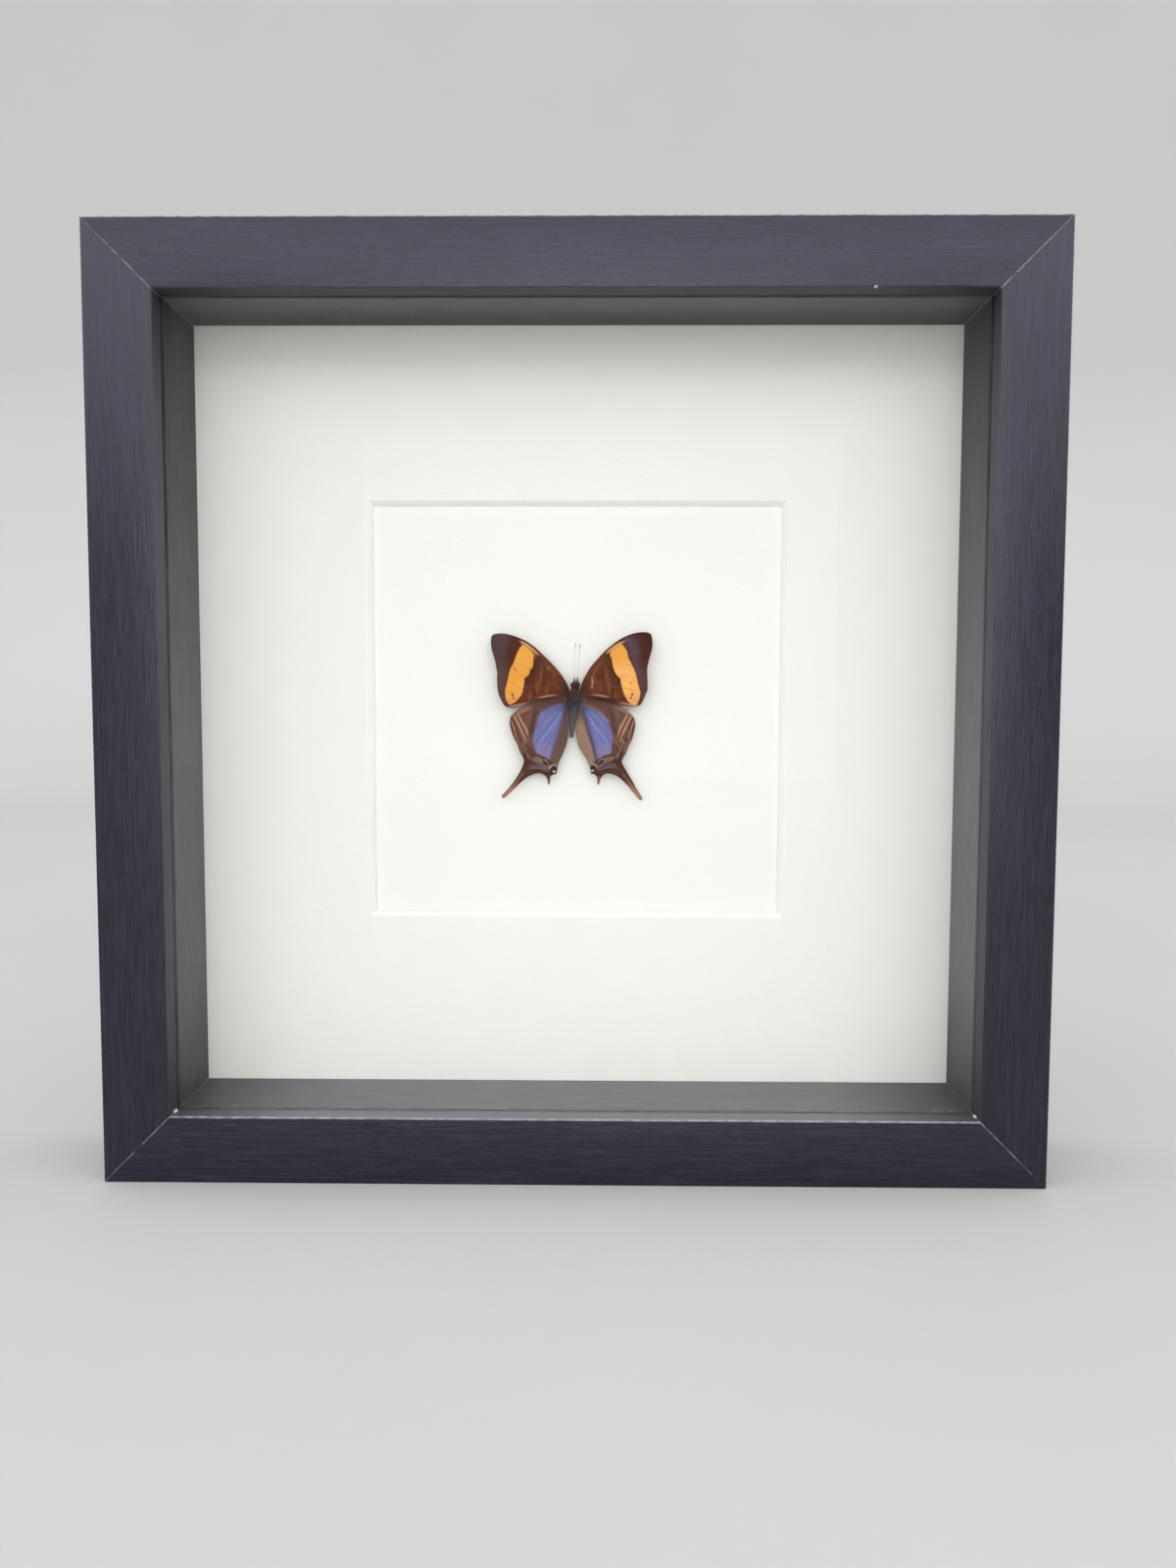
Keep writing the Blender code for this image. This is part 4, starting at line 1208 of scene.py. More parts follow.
EYESPOT = [(0.42, [(-7.1, -23.2), (-6.5, -22.5), (-5.85, -22.15), (-5.35, -23.0)])]
LOOPS = [
    (0.1, [(-12.85, -19.5), (-12.0, -18.7), (-10.8, -19.05), (-9.97, -19.9), (-10.4, -20.7), (-11.6, -20.1),
           (-12.85, -19.5)]),
    (0.1, [(-10.4, -19.9), (-9.15, -19.5), (-7.9, -20.7), (-7.3, -22.1), (-8.3, -21.9), (-9.56, -20.9),
           (-10.4, -19.9)]),
    (0.09, [(-14.7, -23.0), (-13.3, -22.3), (-11.2, -22.2), (-9.15, -22.8), (-7.5, -23.4)]),
    (0.27, [(-7.6, -22.8), (-7.1, -21.8), (-6.06, -21.2), (-5.3, -21.4), (-5.0, -22.3)]),
]
LOOP_CORES = [(0.34, [(-12.2, -19.4), (-11.3, -19.5), (-10.7, -20.0)])]
DARK_CORES = [
    (0.36, [(-9.7, -20.3), (-8.8, -20.6), (-7.9, -21.6)]),
    (0.3, [(-13.2, -19.0), (-12.6, -18.4), (-11.0, -18.4)]),
]
WHITE_SPOT = [(0.19, [(-6.4, -23.2), (-6.0, -23.35), (-5.5, -23.3)])]
SHEEN = [
    (0.1, [(-3.4, -4.4), (-5.85, -7.9), (-7.9, -11.0), (-10.4, -13.5), (-11.8, -16.8)]),
    (0.06, [(-5.6, -9.5), (-7.6, -13.0), (-9.8, -16.6)]),
    (0.06, [(-5.2, -4.6), (-8.4, -7.6), (-10.6, -10.6)]),
]
PATCH_LINES = [
    (0.12, [(-4.0, -3.4), (-5.4, -6.5), (-7.1, -8.5), (-8.3, -9.4)]),
    (0.08, [(-7.6, -11.6), (-9.2, -14.2), (-10.4, -17.2)]),
]
HINDWING_STROKES = {
    "tan": TAN_STRIPES, "root": ROOT_ZONE, "front": FRONT_ZONE, "dark": DARK_STRIPES, "grey": VIOLET_GREY,
    "eyespot": EYESPOT, "loops": LOOPS, "cores": LOOP_CORES, "dark_cores": DARK_CORES, "white": WHITE_SPOT,
    "sheen": SHEEN, "lines": PATCH_LINES, "dusk": DUSK, "plum": PLUM, "hatch": HATCH, "waist": WAIST,
    "glow": GLOW, "tail": TAIL_LEFT, "pale": [],
}
HINDWING_STROKES_RIGHT = {"tail": TAIL_RIGHT, "pale": PALE_RIGHT}
print(sum(len(drawn) for drawn in HINDWING_STROKES.values()), "strokes on a hindwing")

# %% [markdown]
# ## How a wing takes its colour
#
# The colour of a wing is a powder of overlapping scales, about a tenth of a millimetre long, in rows
# across the wing. So every recipe below works with the same few noises: streaks that follow the fan of
# the veins, blotches, a powder that makes each border ragged, and small scales that also give relief.

# %% A finish for scaled wings
class WingFinish(Finish):
    """A finish that lays colours over each other wherever the mesh's distances say so."""

    def __init__(self, name, **values):
        super().__init__(name, **values)
        fan, reach = self.field("fan"), self.field("reach")
        along = self.join(self.times(fan, 1.3), self.times(reach, 0.14), 0.0)
        self.streaks = self.noise(along, 1.5, 4.0, 0.6)
        fine = self.join(self.times(fan, 5.0), self.times(reach, 0.5), 0.0)
        self.fine_streaks = self.noise(fine, 1.4, 2.0)
        self.powder = self.noise(self.mm, 6.5, 3.0, 0.65)
        self.blotches = self.noise(self.mm, 0.9, 3.0, 0.55)
        rows = self.join(self.times(fan, 11.0), self.times(reach, 7.0), 0.0)
        self.scale_cells = self.cells(rows, 1.0)

    def within(self, name, soft=0.12, wobble=0.12):
        """1 inside a marking, with an edge of that softness and raggedness in mm."""
        shift = self.math("MULTIPLY_ADD", self.powder, 5 * wobble, -2.5 * wobble)
        return self.step(self.plus(self.field(name), shift), soft, -soft)

    def marked(self, shade, markings):
        """Lays markings over the shade: name, softness, raggedness, colour and strength of each."""
        for name, soft, wobble, colour, strength in markings:
            shade = self.over(shade, self.within(name, soft, wobble), colour, strength)
        return shade

    def scaled_surface(self, shade):
        """Ends a recipe: the single scales vary in tone and stand a little apart."""
        dim = self.step(self.scale_cells, 0.15, 0.75, (1.06, 0.86))
        speck = self.step(self.powder, 0.3, 0.7, (0.86, 1.14))
        tone = self.times(dim, speck)
        tint = self.node("ShaderNodeCombineColor", {0: tone, 1: tone, 2: tone}).outputs[0]
        self.set(Base_Color=self.mix(1.0, shade, tint, "MULTIPLY"))
        self.relief(self.scale_cells, -0.012)
        self.relief(self.streaks, 0.05)


print("scales about", round(1000 / 11), "micrometres wide")

# %% Forewing finish
def forewing_apex(f, z, outer, inner, haze):
    """The corner of the wing outside the band, browner towards the body."""
    apex = f.mix(f.step(z, 2.0, 12.0), paint(88, 60, 54), outer)
    apex = f.over(apex, f.step(f.blotches, 0.45, 0.72), inner, 0.6)
    return f.over(apex, f.step(f.fine_streaks, 0.52, 0.75), haze, 0.3)


def forewing_band(f, z, ribs, top, middle, bottom):
    """The orange band, with a deeper rim and deeper lines on the veins."""
    band = f.mix(f.step(z, 7.0, 13.5), middle, top)
    band = f.mix(f.step(z, 3.5, -2.5), band, bottom)
    band = f.over(band, f.step(f.fine_streaks, 0.5, 0.85), paint(206, 132, 48), 0.35)
    band = f.over(band, f.step(f.field("band"), -0.3, 0.0), paint(214, 132, 66), 0.35)
    return f.over(band, ribs, paint(196, 116, 34), 0.5)


def make_forewing(name, apex_colours, band_colours):
    f = WingFinish(name, Roughness=0.75, Specular_IOR_Level=0.04)
    z = above_thorax(f)
    shade = f.mix(f.step(f.streaks, 0.32, 0.66), paint(72, 23, 6), paint(109, 49, 18))
    shade = f.over(shade, f.step(f.blotches, 0.45, 0.7), paint(99, 46, 20), 0.5)
    shade = f.over(shade, f.step(f.fine_streaks, 0.55, 0.8), paint(134, 71, 34), 0.35)
    shade = f.marked(shade, [
        ("light", 0.22, 0.2, paint(147, 81, 40), 0.8),
        ("dark", 0.25, 0.2, paint(46, 9, 2), 0.92),
    ])
    shade = f.over(shade, f.step(f.field("reach"), 5.5, 1.5), paint(56, 22, 11), 0.75)
    shade = f.marked(shade, [
        ("outer", 0.3, 0.2, f.mix(f.streaks, paint(57, 13, 2), paint(82, 30, 11)), 1.0),
        ("apex", 0.9, 0.35, forewing_apex(f, z, *apex_colours), 1.0),
        # painted sheen of the scales, as seen from this angle
        ("painted_sheen", 1.1, 0.4, paint(87, 67, 84), 0.75),
        ("salmon", 0.16, 0.12, f.mix(f.step(z, 6.0, 0.0), paint(230, 170, 108), paint(198, 148, 126)), 0.9),
    ])
    ribs = f.step(f.field("vein"), 0.16, 0.02)
    shade = f.over(shade, ribs, paint(52, 24, 14), 0.45)
    beside_ribs = f.step(f.size(f.minus(f.field("vein"), 0.28)), 0.14, 0.0)
    shade = f.over(shade, beside_ribs, paint(150, 100, 76), 0.16)
    shade = f.marked(shade, [
        ("ribs", 0.1, 0.06, paint(150, 100, 74), 0.7),
        ("band", 0.07, 0.16, forewing_band(f, z, ribs, *band_colours), 1.0),
        ("marks", 0.1, 0.08, paint(58, 24, 10), 1.0),
        ("nicks", 0.07, 0.05, paint(214, 168, 142), 0.85),
    ])
    shade = f.over(shade, f.step(f.field("rim"), 0.34, 0.08), paint(52, 36, 36), 0.75)
    f.scaled_surface(shade)
    return f


forewing_left_finish = make_forewing(
    "forewing_scales_left", (paint(78, 50, 48), paint(71, 46, 51), paint(103, 76, 76)),
    (paint(238, 167, 68), paint(236, 162, 62), paint(230, 156, 84)))
forewing_right_finish = make_forewing(
    "forewing_scales_right", (paint(69, 20, 5), paint(62, 15, 2), paint(92, 42, 20)),
    (paint(238, 167, 72), paint(245, 178, 98), paint(232, 162, 106)))
print("two forewing finishes, because the two apexes of this specimen differ")

# %% Hindwing finish
def hindwing_brown(f, z):
    """What lies round the blue patch: browns and tans in stripes, and the pale tail."""
    shade = f.mix(f.step(f.streaks, 0.36, 0.62), paint(68, 38, 31), paint(118, 78, 62))
    shade = f.over(shade, f.step(f.fine_streaks, 0.52, 0.72), paint(156, 118, 98), 0.4)
    shade = f.over(shade, f.step(z, -16.5, -20.5), paint(66, 30, 21), 0.85)
    shade = f.marked(shade, [
        ("front", 0.7, 0.3, paint(168, 124, 102), 0.75),
        ("root", 0.5, 0.3, paint(84, 46, 36), 0.9),
        ("plum", 0.9, 0.3, paint(104, 74, 82), 0.6),
        ("dusk", 1.1, 0.3, paint(62, 30, 28), 0.75),
        ("hatch", 0.12, 0.1, paint(166, 132, 118), 0.5),
        ("tan", 0.3, 0.3, paint(190, 143, 112), 0.9),
        ("dark", 0.16, 0.12, paint(56, 26, 18), 0.9),
    ])
    shade = f.over(shade, f.step(z, -25.5, -31.0), paint(172, 124, 100), 0.75)
    return f.marked(shade, [
        ("tail", 0.65, 0.15, paint(184, 134, 110), 0.6),
        ("grey", 0.3, 0.2, paint(92, 80, 100), 0.8),
    ])


def hindwing_blue(f, z, slate):
    """The patch: slate at its upper end, violet at its lower one and along its rim."""
    blue = f.mix(f.step(f.streaks, 0.3, 0.7), paint(92, 92, 144), paint(118, 118, 171))
    blue = f.over(blue, f.step(z, -6.5, -3.0), paint(70, 76, 122), 0.75)
    blue = f.over(blue, f.step(z, -13.0, -18.5), paint(142, 122, 160), 0.9)
    blue = f.over(blue, f.step(f.fine_streaks, 0.45, 0.75), paint(152, 152, 206), 0.45)
    blue = f.marked(blue, [
        ("glow", 0.9, 0.2, paint(128, 146, 216), 0.65),
        ("lines", 0.12, 0.08, paint(58, 60, 116), 0.8),
        ("sheen", 0.12, 0.06, paint(156, 168, 226), 0.55),
    ])
    blue = f.over(blue, f.step(f.field("fold"), 1.8, 0.1), paint(66, 70, 106), slate)
    return f.over(blue, f.step(f.field("patch"), -0.9, 0.0), paint(112, 92, 140), 0.4)


def make_hindwing(name, fold_light, fold_dark, slate):
    f = WingFinish(name, Specular_IOR_Level=0.06)
    z = above_thorax(f)
    fold = f.mix(f.step(f.streaks, 0.3, 0.7), fold_dark, fold_light)
    fold = f.over(fold, f.step(z, -9.5, -5.0), paint(62, 50, 54), 0.85)
    shade = f.marked(hindwing_brown(f, z), [("fold", 0.4, 0.3, fold, 1.0)])
    patch = f.within("patch", 0.3, 0.35)
    shade = f.over(shade, patch, hindwing_blue(f, z, slate))
    seam = f.times(f.step(f.size(f.field("fold")), 1.0, 0.1), f.step(z, -20.5, -18.0))
    shade = f.over(shade, seam, paint(78, 72, 90), slate * 0.9)
    shade = f.marked(shade, [("waist", 0.6, 0.2, paint(50, 62, 94), 0.85)])
    shade = f.over(shade, f.step(f.field("vein"), 0.14, 0.02), paint(58, 44, 60), 0.4)
    shade = f.marked(shade, [
        ("pale", 0.08, 0.06, paint(186, 158, 146), 0.75),
        ("eyespot", 0.12, 0.06, paint(20, 16, 18), 1.0),
        ("dark_cores", 0.15, 0.1, paint(44, 30, 28), 0.85),
        ("cores", 0.15, 0.1, paint(142, 108, 98), 0.8),
        ("loops", 0.09, 0.1, paint(186, 162, 138), f.step(f.blotches, 0.35, 0.6, (0.5, 0.95))),
        ("white", 0.07, 0.04, paint(240, 236, 228), 1.0),
    ])
    shade = f.over(shade, f.step(f.field("rim"), 0.26, 0.06), paint(70, 46, 38), 0.6)
    f.set(Roughness=f.between(patch, 0.75, 0.5))
    f.scaled_surface(shade)
    return f


hindwing_left_finish = make_hindwing(
    "hindwing_scales_left", paint(124, 88, 70), paint(86, 66, 64), slate=0.25)
hindwing_right_finish = make_hindwing(
    "hindwing_scales_right", paint(176, 140, 114), paint(146, 110, 92), slate=0.75)
print("two hindwing finishes, because the right fold is paler and its seam is slate")

# %% [markdown]
# ## Building the wings
#
# The sheet starts flat and is lifted to the height at which the wing was spread. The wings rise a little
# towards their tips. Veins stand up as ridges, the skin between them sags, and the rim curls by a hair.
# A solidify modifier then gives the skin its thickness, which is about that of thin paper.

# %% The four wings
FOREWING_PLANE = (4.2, 0.05)  # mm over the board at the body, and the rise for each mm outwards
HINDWING_PLANE = (3.35, 0.02)
SKIN = 0.12
RIDGE = (0.07, 0.12)  # how high a vein stands, and how wide its flank is, in mm
SAG = (0.16, 1.0)  # how deep the skin sinks beside a vein, and how far from it
CURL = (0.08, 0.8)  # how far the rim bends back, and how wide the bend is
PLEAT = 0.03
BUCKLE = 0.1
NOTCH_STEP = 0.25
NOTCH = 0.09
BLUR = (0.1, 0.25, 0.3, 0.25, 0.1)


def insect_place(x, z, height):
    return ((THORAX_X + x) * MM, BOARD_FACE - height * MM, (THORAX_Z + z) * MM)


def add_fields(mesh, fields):
    for name, values in fields.items():
        mesh.attributes.new(name, "FLOAT", "POINT").data.foreach_set("value", values.astype(np.float32))


def wing_fields(places, rim, veins, root, shapes, strokes):
    """All the distances that a wing's finish reads."""
    offset = places - np.array(root)
    fields = {"rim": -beyond_edge(places, rim)}
    fields["vein"] = np.min([distance_to(places, curve_through(vein, 5)) for vein in veins], axis=0)
    fields["reach"] = np.hypot(*offset.T)
    fields["fan"] = 20 * np.arctan2(offset[:, 1], np.abs(offset[:, 0]))
    for name, shape in shapes.items():
        fields[name] = beyond_edge(places, np.array(shape, float))
    for name, drawn in strokes.items():
        fields[name] = beyond_strokes(places, drawn)
    return fields


def lifted(places, fields, plane):
    """The height over the board of each point, in mm."""
    base = plane[0] + plane[1] * np.abs(places[:, 0])
    ridge = RIDGE[0] * np.exp(-(fields["vein"] / RIDGE[1]) ** 2)
    sag = -SAG[0] * (1 - np.exp(-(fields["vein"] / SAG[1]) ** 2))
    pleat = PLEAT * np.sin(fields["fan"] * 2.3) * np.clip(fields["reach"] / 12, 0, 1)
    buckle = BUCKLE * np.sin(places[:, 0] * 0.55 + 0.4) * np.sin(places[:, 1] * 0.47 + 1.1)
    curl = -CURL[0] * np.exp(-(fields["rim"] / CURL[1]) ** 2)
    return base + ridge + sag + pleat + buckle + curl


def notched(outline, root):
    """The outline with the small uneven notches of a used wing, none of them at the root."""
    steps = even_steps(outline, NOTCH_STEP)
    away = np.clip(np.hypot(*(steps - root).T) / 12 - 0.4, 0, 1)
    waves = random.normal(0, 1, len(steps))
    waves = np.convolve(np.concatenate([waves[-2:], waves, waves[:2]]), BLUR, "valid")
    ahead = np.roll(steps, -1, axis=0) - np.roll(steps, 1, axis=0)
    outward = np.stack([ahead[:, 1], -ahead[:, 0]], axis=1) / np.hypot(*ahead.T)[:, None]
    return steps - outward * (np.abs(waves) * NOTCH * away)[:, None] * np.sign(area_of(steps))


def area_of(outline):
    """Positive when the outline runs anticlockwise."""
    x, z = outline.T
    return 0.5 * np.sum(x * np.roll(z, -1) - z * np.roll(x, -1))


def make_wing(name, outline, veins, root, shapes, strokes, plane, finish):
    smooth = curve_through(outline, 8, closed=True)
    places, triangles, rim = fill_outline(notched(smooth, root), SHEET_STEP)
    fields = wing_fields(places, rim, veins, root, shapes, strokes)
    heights = lifted(places, fields, plane)
    mesh = bpy.data.meshes.new(name)
    points = [insect_place(x, z, h) for (x, z), h in zip(places, heights)]
    mesh.from_pydata(points, [], [tuple(t) for t in triangles])
    add_fields(mesh, fields)
    mesh.materials.append(finish.material)
    mesh.shade_smooth()
    item = added(name, mesh)
    skin = item.modifiers.new("skin", "SOLIDIFY")
    skin.thickness = SKIN * MM
    skin.offset = 0.0
    return made_plain(item)


def all_mirrored(strokes, mirror):
    return {name: mirrored_strokes(drawn, mirror) for name, drawn in strokes.items()}


FOREWINGS = {
    "forewing_left": dict(
        outline=FOREWING_LEFT, veins=FOREWING_VEINS, root=(-1.4, 1.0),
        shapes={"band": BAND_LEFT, "outer": OUTER_LEFT, "apex": APEX_LEFT},
        strokes=FOREWING_STROKES, finish=forewing_left_finish),
    "forewing_right": dict(
        outline=FOREWING_RIGHT, veins=[forewing_mirrored(vein) for vein in FOREWING_VEINS], root=(2.1, 1.2),
        shapes={"band": BAND_RIGHT, "outer": OUTER_RIGHT, "apex": APEX_RIGHT},
        strokes={**all_mirrored(FOREWING_STROKES, forewing_mirrored), **FOREWING_STROKES_RIGHT},
        finish=forewing_right_finish),
}
HINDWINGS = {
    "hindwing_left": dict(
        outline=HINDWING_LEFT, veins=HINDWING_VEINS, root=(-2.2, -1.6),
        shapes={"patch": PATCH_LEFT, "fold": FOLD_LEFT},
        strokes=HINDWING_STROKES, finish=hindwing_left_finish),
    "hindwing_right": dict(
        outline=HINDWING_RIGHT, veins=[hindwing_mirrored(vein) for vein in HINDWING_VEINS], root=(2.3, -1.4),
        shapes={"patch": PATCH_RIGHT, "fold": hindwing_mirrored(FOLD_LEFT)},
        strokes={**all_mirrored(HINDWING_STROKES, hindwing_mirrored), **HINDWING_STROKES_RIGHT},
        finish=hindwing_right_finish),
}
wings = {}
for plane, slot, group in ((FOREWING_PLANE, "forewing", FOREWINGS), (HINDWING_PLANE, "hindwing", HINDWINGS)):
    for name, recipe in group.items():
        wings[name] = shown(make_wing(name + "_sheet", plane=plane, **recipe), [name])

# %% [markdown]
# ## Body
#
# The body is a tapering rod: head, thorax and abdomen. On the real insect it is a horny shell in rings,
# covered with soft hair and scales. The code strings finely spaced rings along the axis, narrows the
# abdomen a little between its segments, and adds the eyes, the two palps in front of the head and the
# legs that are tucked underneath.

# %% Tubes and rings
SOFT_CREASE = 60  # degrees


def tube(path, radii, sides=10):
    """Points and faces of a tube along the path, with round cross sections."""
    path = [Vector(p) for p in path]
    points = []
    frame_side = Vector((0.0, 1.0, 0.0))
    for i, place in enumerate(path):
        ahead = (path[min(i + 1, len(path) - 1)] - path[max(i - 1, 0)]).normalized()
        frame_side = (frame_side - ahead * frame_side.dot(ahead)).normalized()
        other = ahead.cross(frame_side)
        for k in range(sides):
            turn = 2 * pi * k / sides
            points.append(place + (frame_side * cos(turn) + other * sin(turn)) * radii[i])
    return points, rings_to_faces(len(path), sides)


def gathered(name, parts, finish):
    """One mesh from several lists of (points, faces, index of the material)."""
    points, faces, kinds = [], [], []
    for part_points, part_faces, kind in parts:
        start = len(points)
        points += [tuple(p) for p in part_points]
        faces += [tuple(v + start for v in face) for face in part_faces]
        kinds += [kind] * len(part_faces)
    item = mesh_object(name, points, faces, finish, SOFT_CREASE)
    item.data.polygons.foreach_set("material_index", kinds)
    return item


print("a tube of 5 rings has", len(tube([(0, 0, k) for k in range(5)], [1] * 5)[1]), "faces")

# %% Body measures
BODY_STATIONS = [  # place along the axis, half width, half depth, height over the board
    (5.0, 0.3, 0.3, 2.9), (4.7, 0.85, 0.8, 2.9), (4.2, 1.15, 1.1, 2.9), (3.6, 1.25, 1.25, 2.9),
    (3.0, 1.15, 1.15, 2.8), (2.5, 0.85, 0.95, 2.8), (2.1, 1.2, 1.4, 2.8), (1.4, 1.75, 2.1, 2.8),
    (0.4, 2.0, 2.45, 2.8), (-0.8, 2.0, 2.45, 2.8), (-1.8, 1.75, 2.1, 2.7), (-2.5, 1.3, 1.6, 2.5),
    (-3.3, 1.25, 1.5, 2.4), (-4.5, 1.3, 1.55, 2.3), (-6.5, 1.02, 1.4, 2.15), (-8.5, 0.8, 1.2, 2.0),
    (-10.5, 0.62, 0.85, 1.8), (-11.6, 0.45, 0.5, 1.7), (-12.1, 0.15, 0.2, 1.65),
]
BODY_SIDES = 40
SEGMENT = 1.25  # mm from one groove of the abdomen to the next
LEGS = [
    [(0.7, 1.5, 1.2), (1.0, 2.5, 1.0), (0.8, 3.6, 0.9)],
    [(1.1, -0.4, 1.4), (2.7, -2.0, 1.7), (2.4, -4.8, 0.9), (2.1, -6.8, 0.55)],
    [(1.0, -1.2, 1.3), (2.3, -3.4, 1.7), (1.9, -7.0, 0.9), (1.7, -9.4, 0.55)],
]
PALP = [(0.42, 4.4, 2.75), (0.5, 5.3, 2.9), (0.4, 6.1, 3.2)]
TIP_LOBE = [(0.2, -11.2, 1.8), (0.28, -12.1, 1.7), (0.26, -12.9, 1.7)]


def axis_x(along):
    """The body lies a little askew."""
    return 0.3 + 0.075 * along


def body_shell():
    stations = curve_through(BODY_STATIONS, 7)
    points = []
    for along, half_width, half_depth, height in stations:
        groove = 0.5 + 0.5 * cos(2 * pi * (along + 3.0) / SEGMENT) if along < -3.2 else 0.0
        neck = 0.93 + 0.07 * (1 - groove ** 3)
        for k in range(BODY_SIDES):
            turn = 2 * pi * k / BODY_SIDES
            furrow = 1 - 0.05 * np.exp(-((turn - pi / 2) / 0.22) ** 2) if -2.2 < along < 1.8 else 1.0
            x = axis_x(along) + half_width * neck * cos(turn)
            points.append(insect_place(x, along, height + half_depth * neck * furrow * sin(turn)))
    return points, rings_to_faces(len(stations), BODY_SIDES)


def ball(place, radius, rings=14, sides=20):
    points = []
    for i in range(rings + 1):
        polar = 0.02 + (pi - 0.04) * i / rings
        for k in range(sides):
            turn = 2 * pi * k / sides
            spot = Vector((sin(polar) * cos(turn), sin(polar) * sin(turn), cos(polar)))
            points.append(Vector(place) + spot * radius * MM)
    return points, rings_to_faces(rings + 1, sides)


def limb(points, radii, side):
    """A leg or palp; points are (aside from the axis, along it, height)."""
    placed = [(axis_x(along) + side * aside, along, height) for aside, along, height in points]
    path = [insect_place(*place) for place in curve_through(placed, 5)]
    marks = np.linspace(0, 1, len(path))
    sizes = np.interp(marks, np.linspace(0, 1, len(radii)), radii) * MM
    return tube(path, sizes)


print("the shell has", len(body_shell()[0]), "points")

# %% Body finishes
FACETS = 16.0  # of the eye, in one mm


def make_body_finish():
    f = Finish("body_scales", Roughness=0.75, Specular_IOR_Level=0.2)
    along = above_thorax(f)
    blotches = f.noise(f.mm, 1.6, 4.0, 0.6)
    fine = f.noise(f.mm, 9.0, 3.0, 0.7)
    thorax = f.mix(f.step(blotches, 0.35, 0.65), paint(50, 28, 24), paint(84, 54, 44))
    abdomen = f.mix(f.step(blotches, 0.35, 0.65), paint(66, 58, 62), paint(108, 98, 96))
    waist = f.mix(blotches, paint(44, 44, 54), paint(60, 66, 84))
    shade = f.mix(f.step(along, -1.6, -2.4), thorax, waist)
    shade = f.mix(f.step(along, -3.4, -5.0), shade, abdomen)
    shade = f.mix(f.step(along, 2.6, 3.4), shade, paint(70, 32, 28))
    shade = f.over(shade, f.step(fine, 0.4, 0.7), paint(36, 24, 22), 0.4)
    f.set(Base_Color=shade)
    f.relief(fine, 0.05)
    f.relief(blotches, 0.12)
    return f


def make_eye_finish():
    f = Finish("eyes", Roughness=0.22, IOR=1.5)
    f.set(Base_Color=f.mix(f.noise(f.mm, 1.2), paint(26, 14, 12), paint(58, 30, 22)))
    f.relief(f.cells(f.mm, FACETS), -0.01)
    return f


body_finish = make_body_finish()
eye_finish = make_eye_finish()
print("eye facets about", round(1000 / FACETS), "micrometres wide")

# %% The body
EYE_ALONG = 3.7
EYE_ASIDE = 0.95
EYE_HEIGHT = 3.1
EYE_RADIUS = 0.62


def make_body():
    parts = [(*body_shell(), 0)]
    for side in (-1, 1):
        eye = insect_place(axis_x(EYE_ALONG) + side * EYE_ASIDE, EYE_ALONG, EYE_HEIGHT)
        parts.append((*ball(eye, EYE_RADIUS), 1))
        parts.append((*limb(PALP, (0.32, 0.3, 0.24, 0.1), side), 0))
        parts.append((*limb(TIP_LOBE, (0.2, 0.27, 0.2, 0.08), side), 0))
        for leg in LEGS:
            parts.append((*limb(leg, (0.26, 0.2, 0.15, 0.11), side), 0))
    body = gathered("body", parts, body_finish)
    body.data.materials.append(eye_finish.material)
    return body


body = shown(make_body(), ["butterfly_body"])

# %% [markdown]
# ## Antennae
#
# Two thin stalks end in slender clubs. They look pale grey, because their fine rings are dusted with
# white scales; the clubs are darker. Small joints make the stalk look beaded when it is seen close up.

# %% The antennae
ANTENNAE = {
    "antenna_left": [
        (0.25, 5.2, 4.0), (0.2, 7.5, 4.5), (0.25, 11.0, 4.8), (0.4, 14.2, 4.8), (0.8, 16.7, 4.7)],
    "antenna_right": [
        (1.0, 5.2, 4.0), (1.3, 7.5, 4.5), (1.7, 10.5, 4.8), (1.85, 13.6, 4.8), (2.0, 16.3, 4.7)],
}
ANTENNA_ROOT = (3.9, 3.6)  # where both leave the head: along and height
STALK = 0.058
CLUB = 0.18
CLUB_LENGTH = 1.9
BEAD = 0.22  # mm from joint to joint


def make_antenna_finish():
    f = Finish("antenna_scales", Roughness=0.6, Specular_IOR_Level=0.3)
    z = above_thorax(f)
    rings = f.math("SINE", f.times(z, 2 * pi / BEAD))
    pale = f.mix(f.step(rings, -0.4, 0.8), paint(172, 167, 163), paint(214, 211, 207))
    dusty = f.noise(f.mm, 5.0, 2.0)
    club = f.mix(dusty, paint(98, 89, 87), paint(152, 145, 141))
    f.set(Base_Color=f.mix(f.step(z, 14.4, 15.2), pale, club))
    f.relief(dusty, 0.03)
    return f


antenna_finish = make_antenna_finish()


def make_antenna(name, places):
    side = -1 if name.endswith("left") else 1
    root = (axis_x(ANTENNA_ROOT[0]) + side * 0.3, *ANTENNA_ROOT)
    path = curve_through([root] + places, 40)
    lengths = np.concatenate([[0], np.cumsum(np.linalg.norm(np.diff(path, axis=0), axis=1))])
    marks = np.arange(0, lengths[-1], BEAD / 4)
    path = np.stack([np.interp(marks, lengths, path[:, k]) for k in range(3)], axis=1)
    left = (marks[-1] - marks) / CLUB_LENGTH
    swell = np.clip(1 - left, 0, 1)
    swell = swell * swell * (3 - 2 * swell) * np.sqrt(np.clip(left * 5, 0.02, 1))
    beads = 1 + 0.09 * np.cos(2 * pi * marks / BEAD)
    radii = (STALK * beads + (CLUB - STALK) * swell) * MM
    points, faces = tube([insect_place(*p) for p in path], radii, 8)
    return gathered(name + "_fine", [(points, faces, 0)], antenna_finish)


for name, places in ANTENNAE.items():
    shown(make_antenna(name, places), [name])

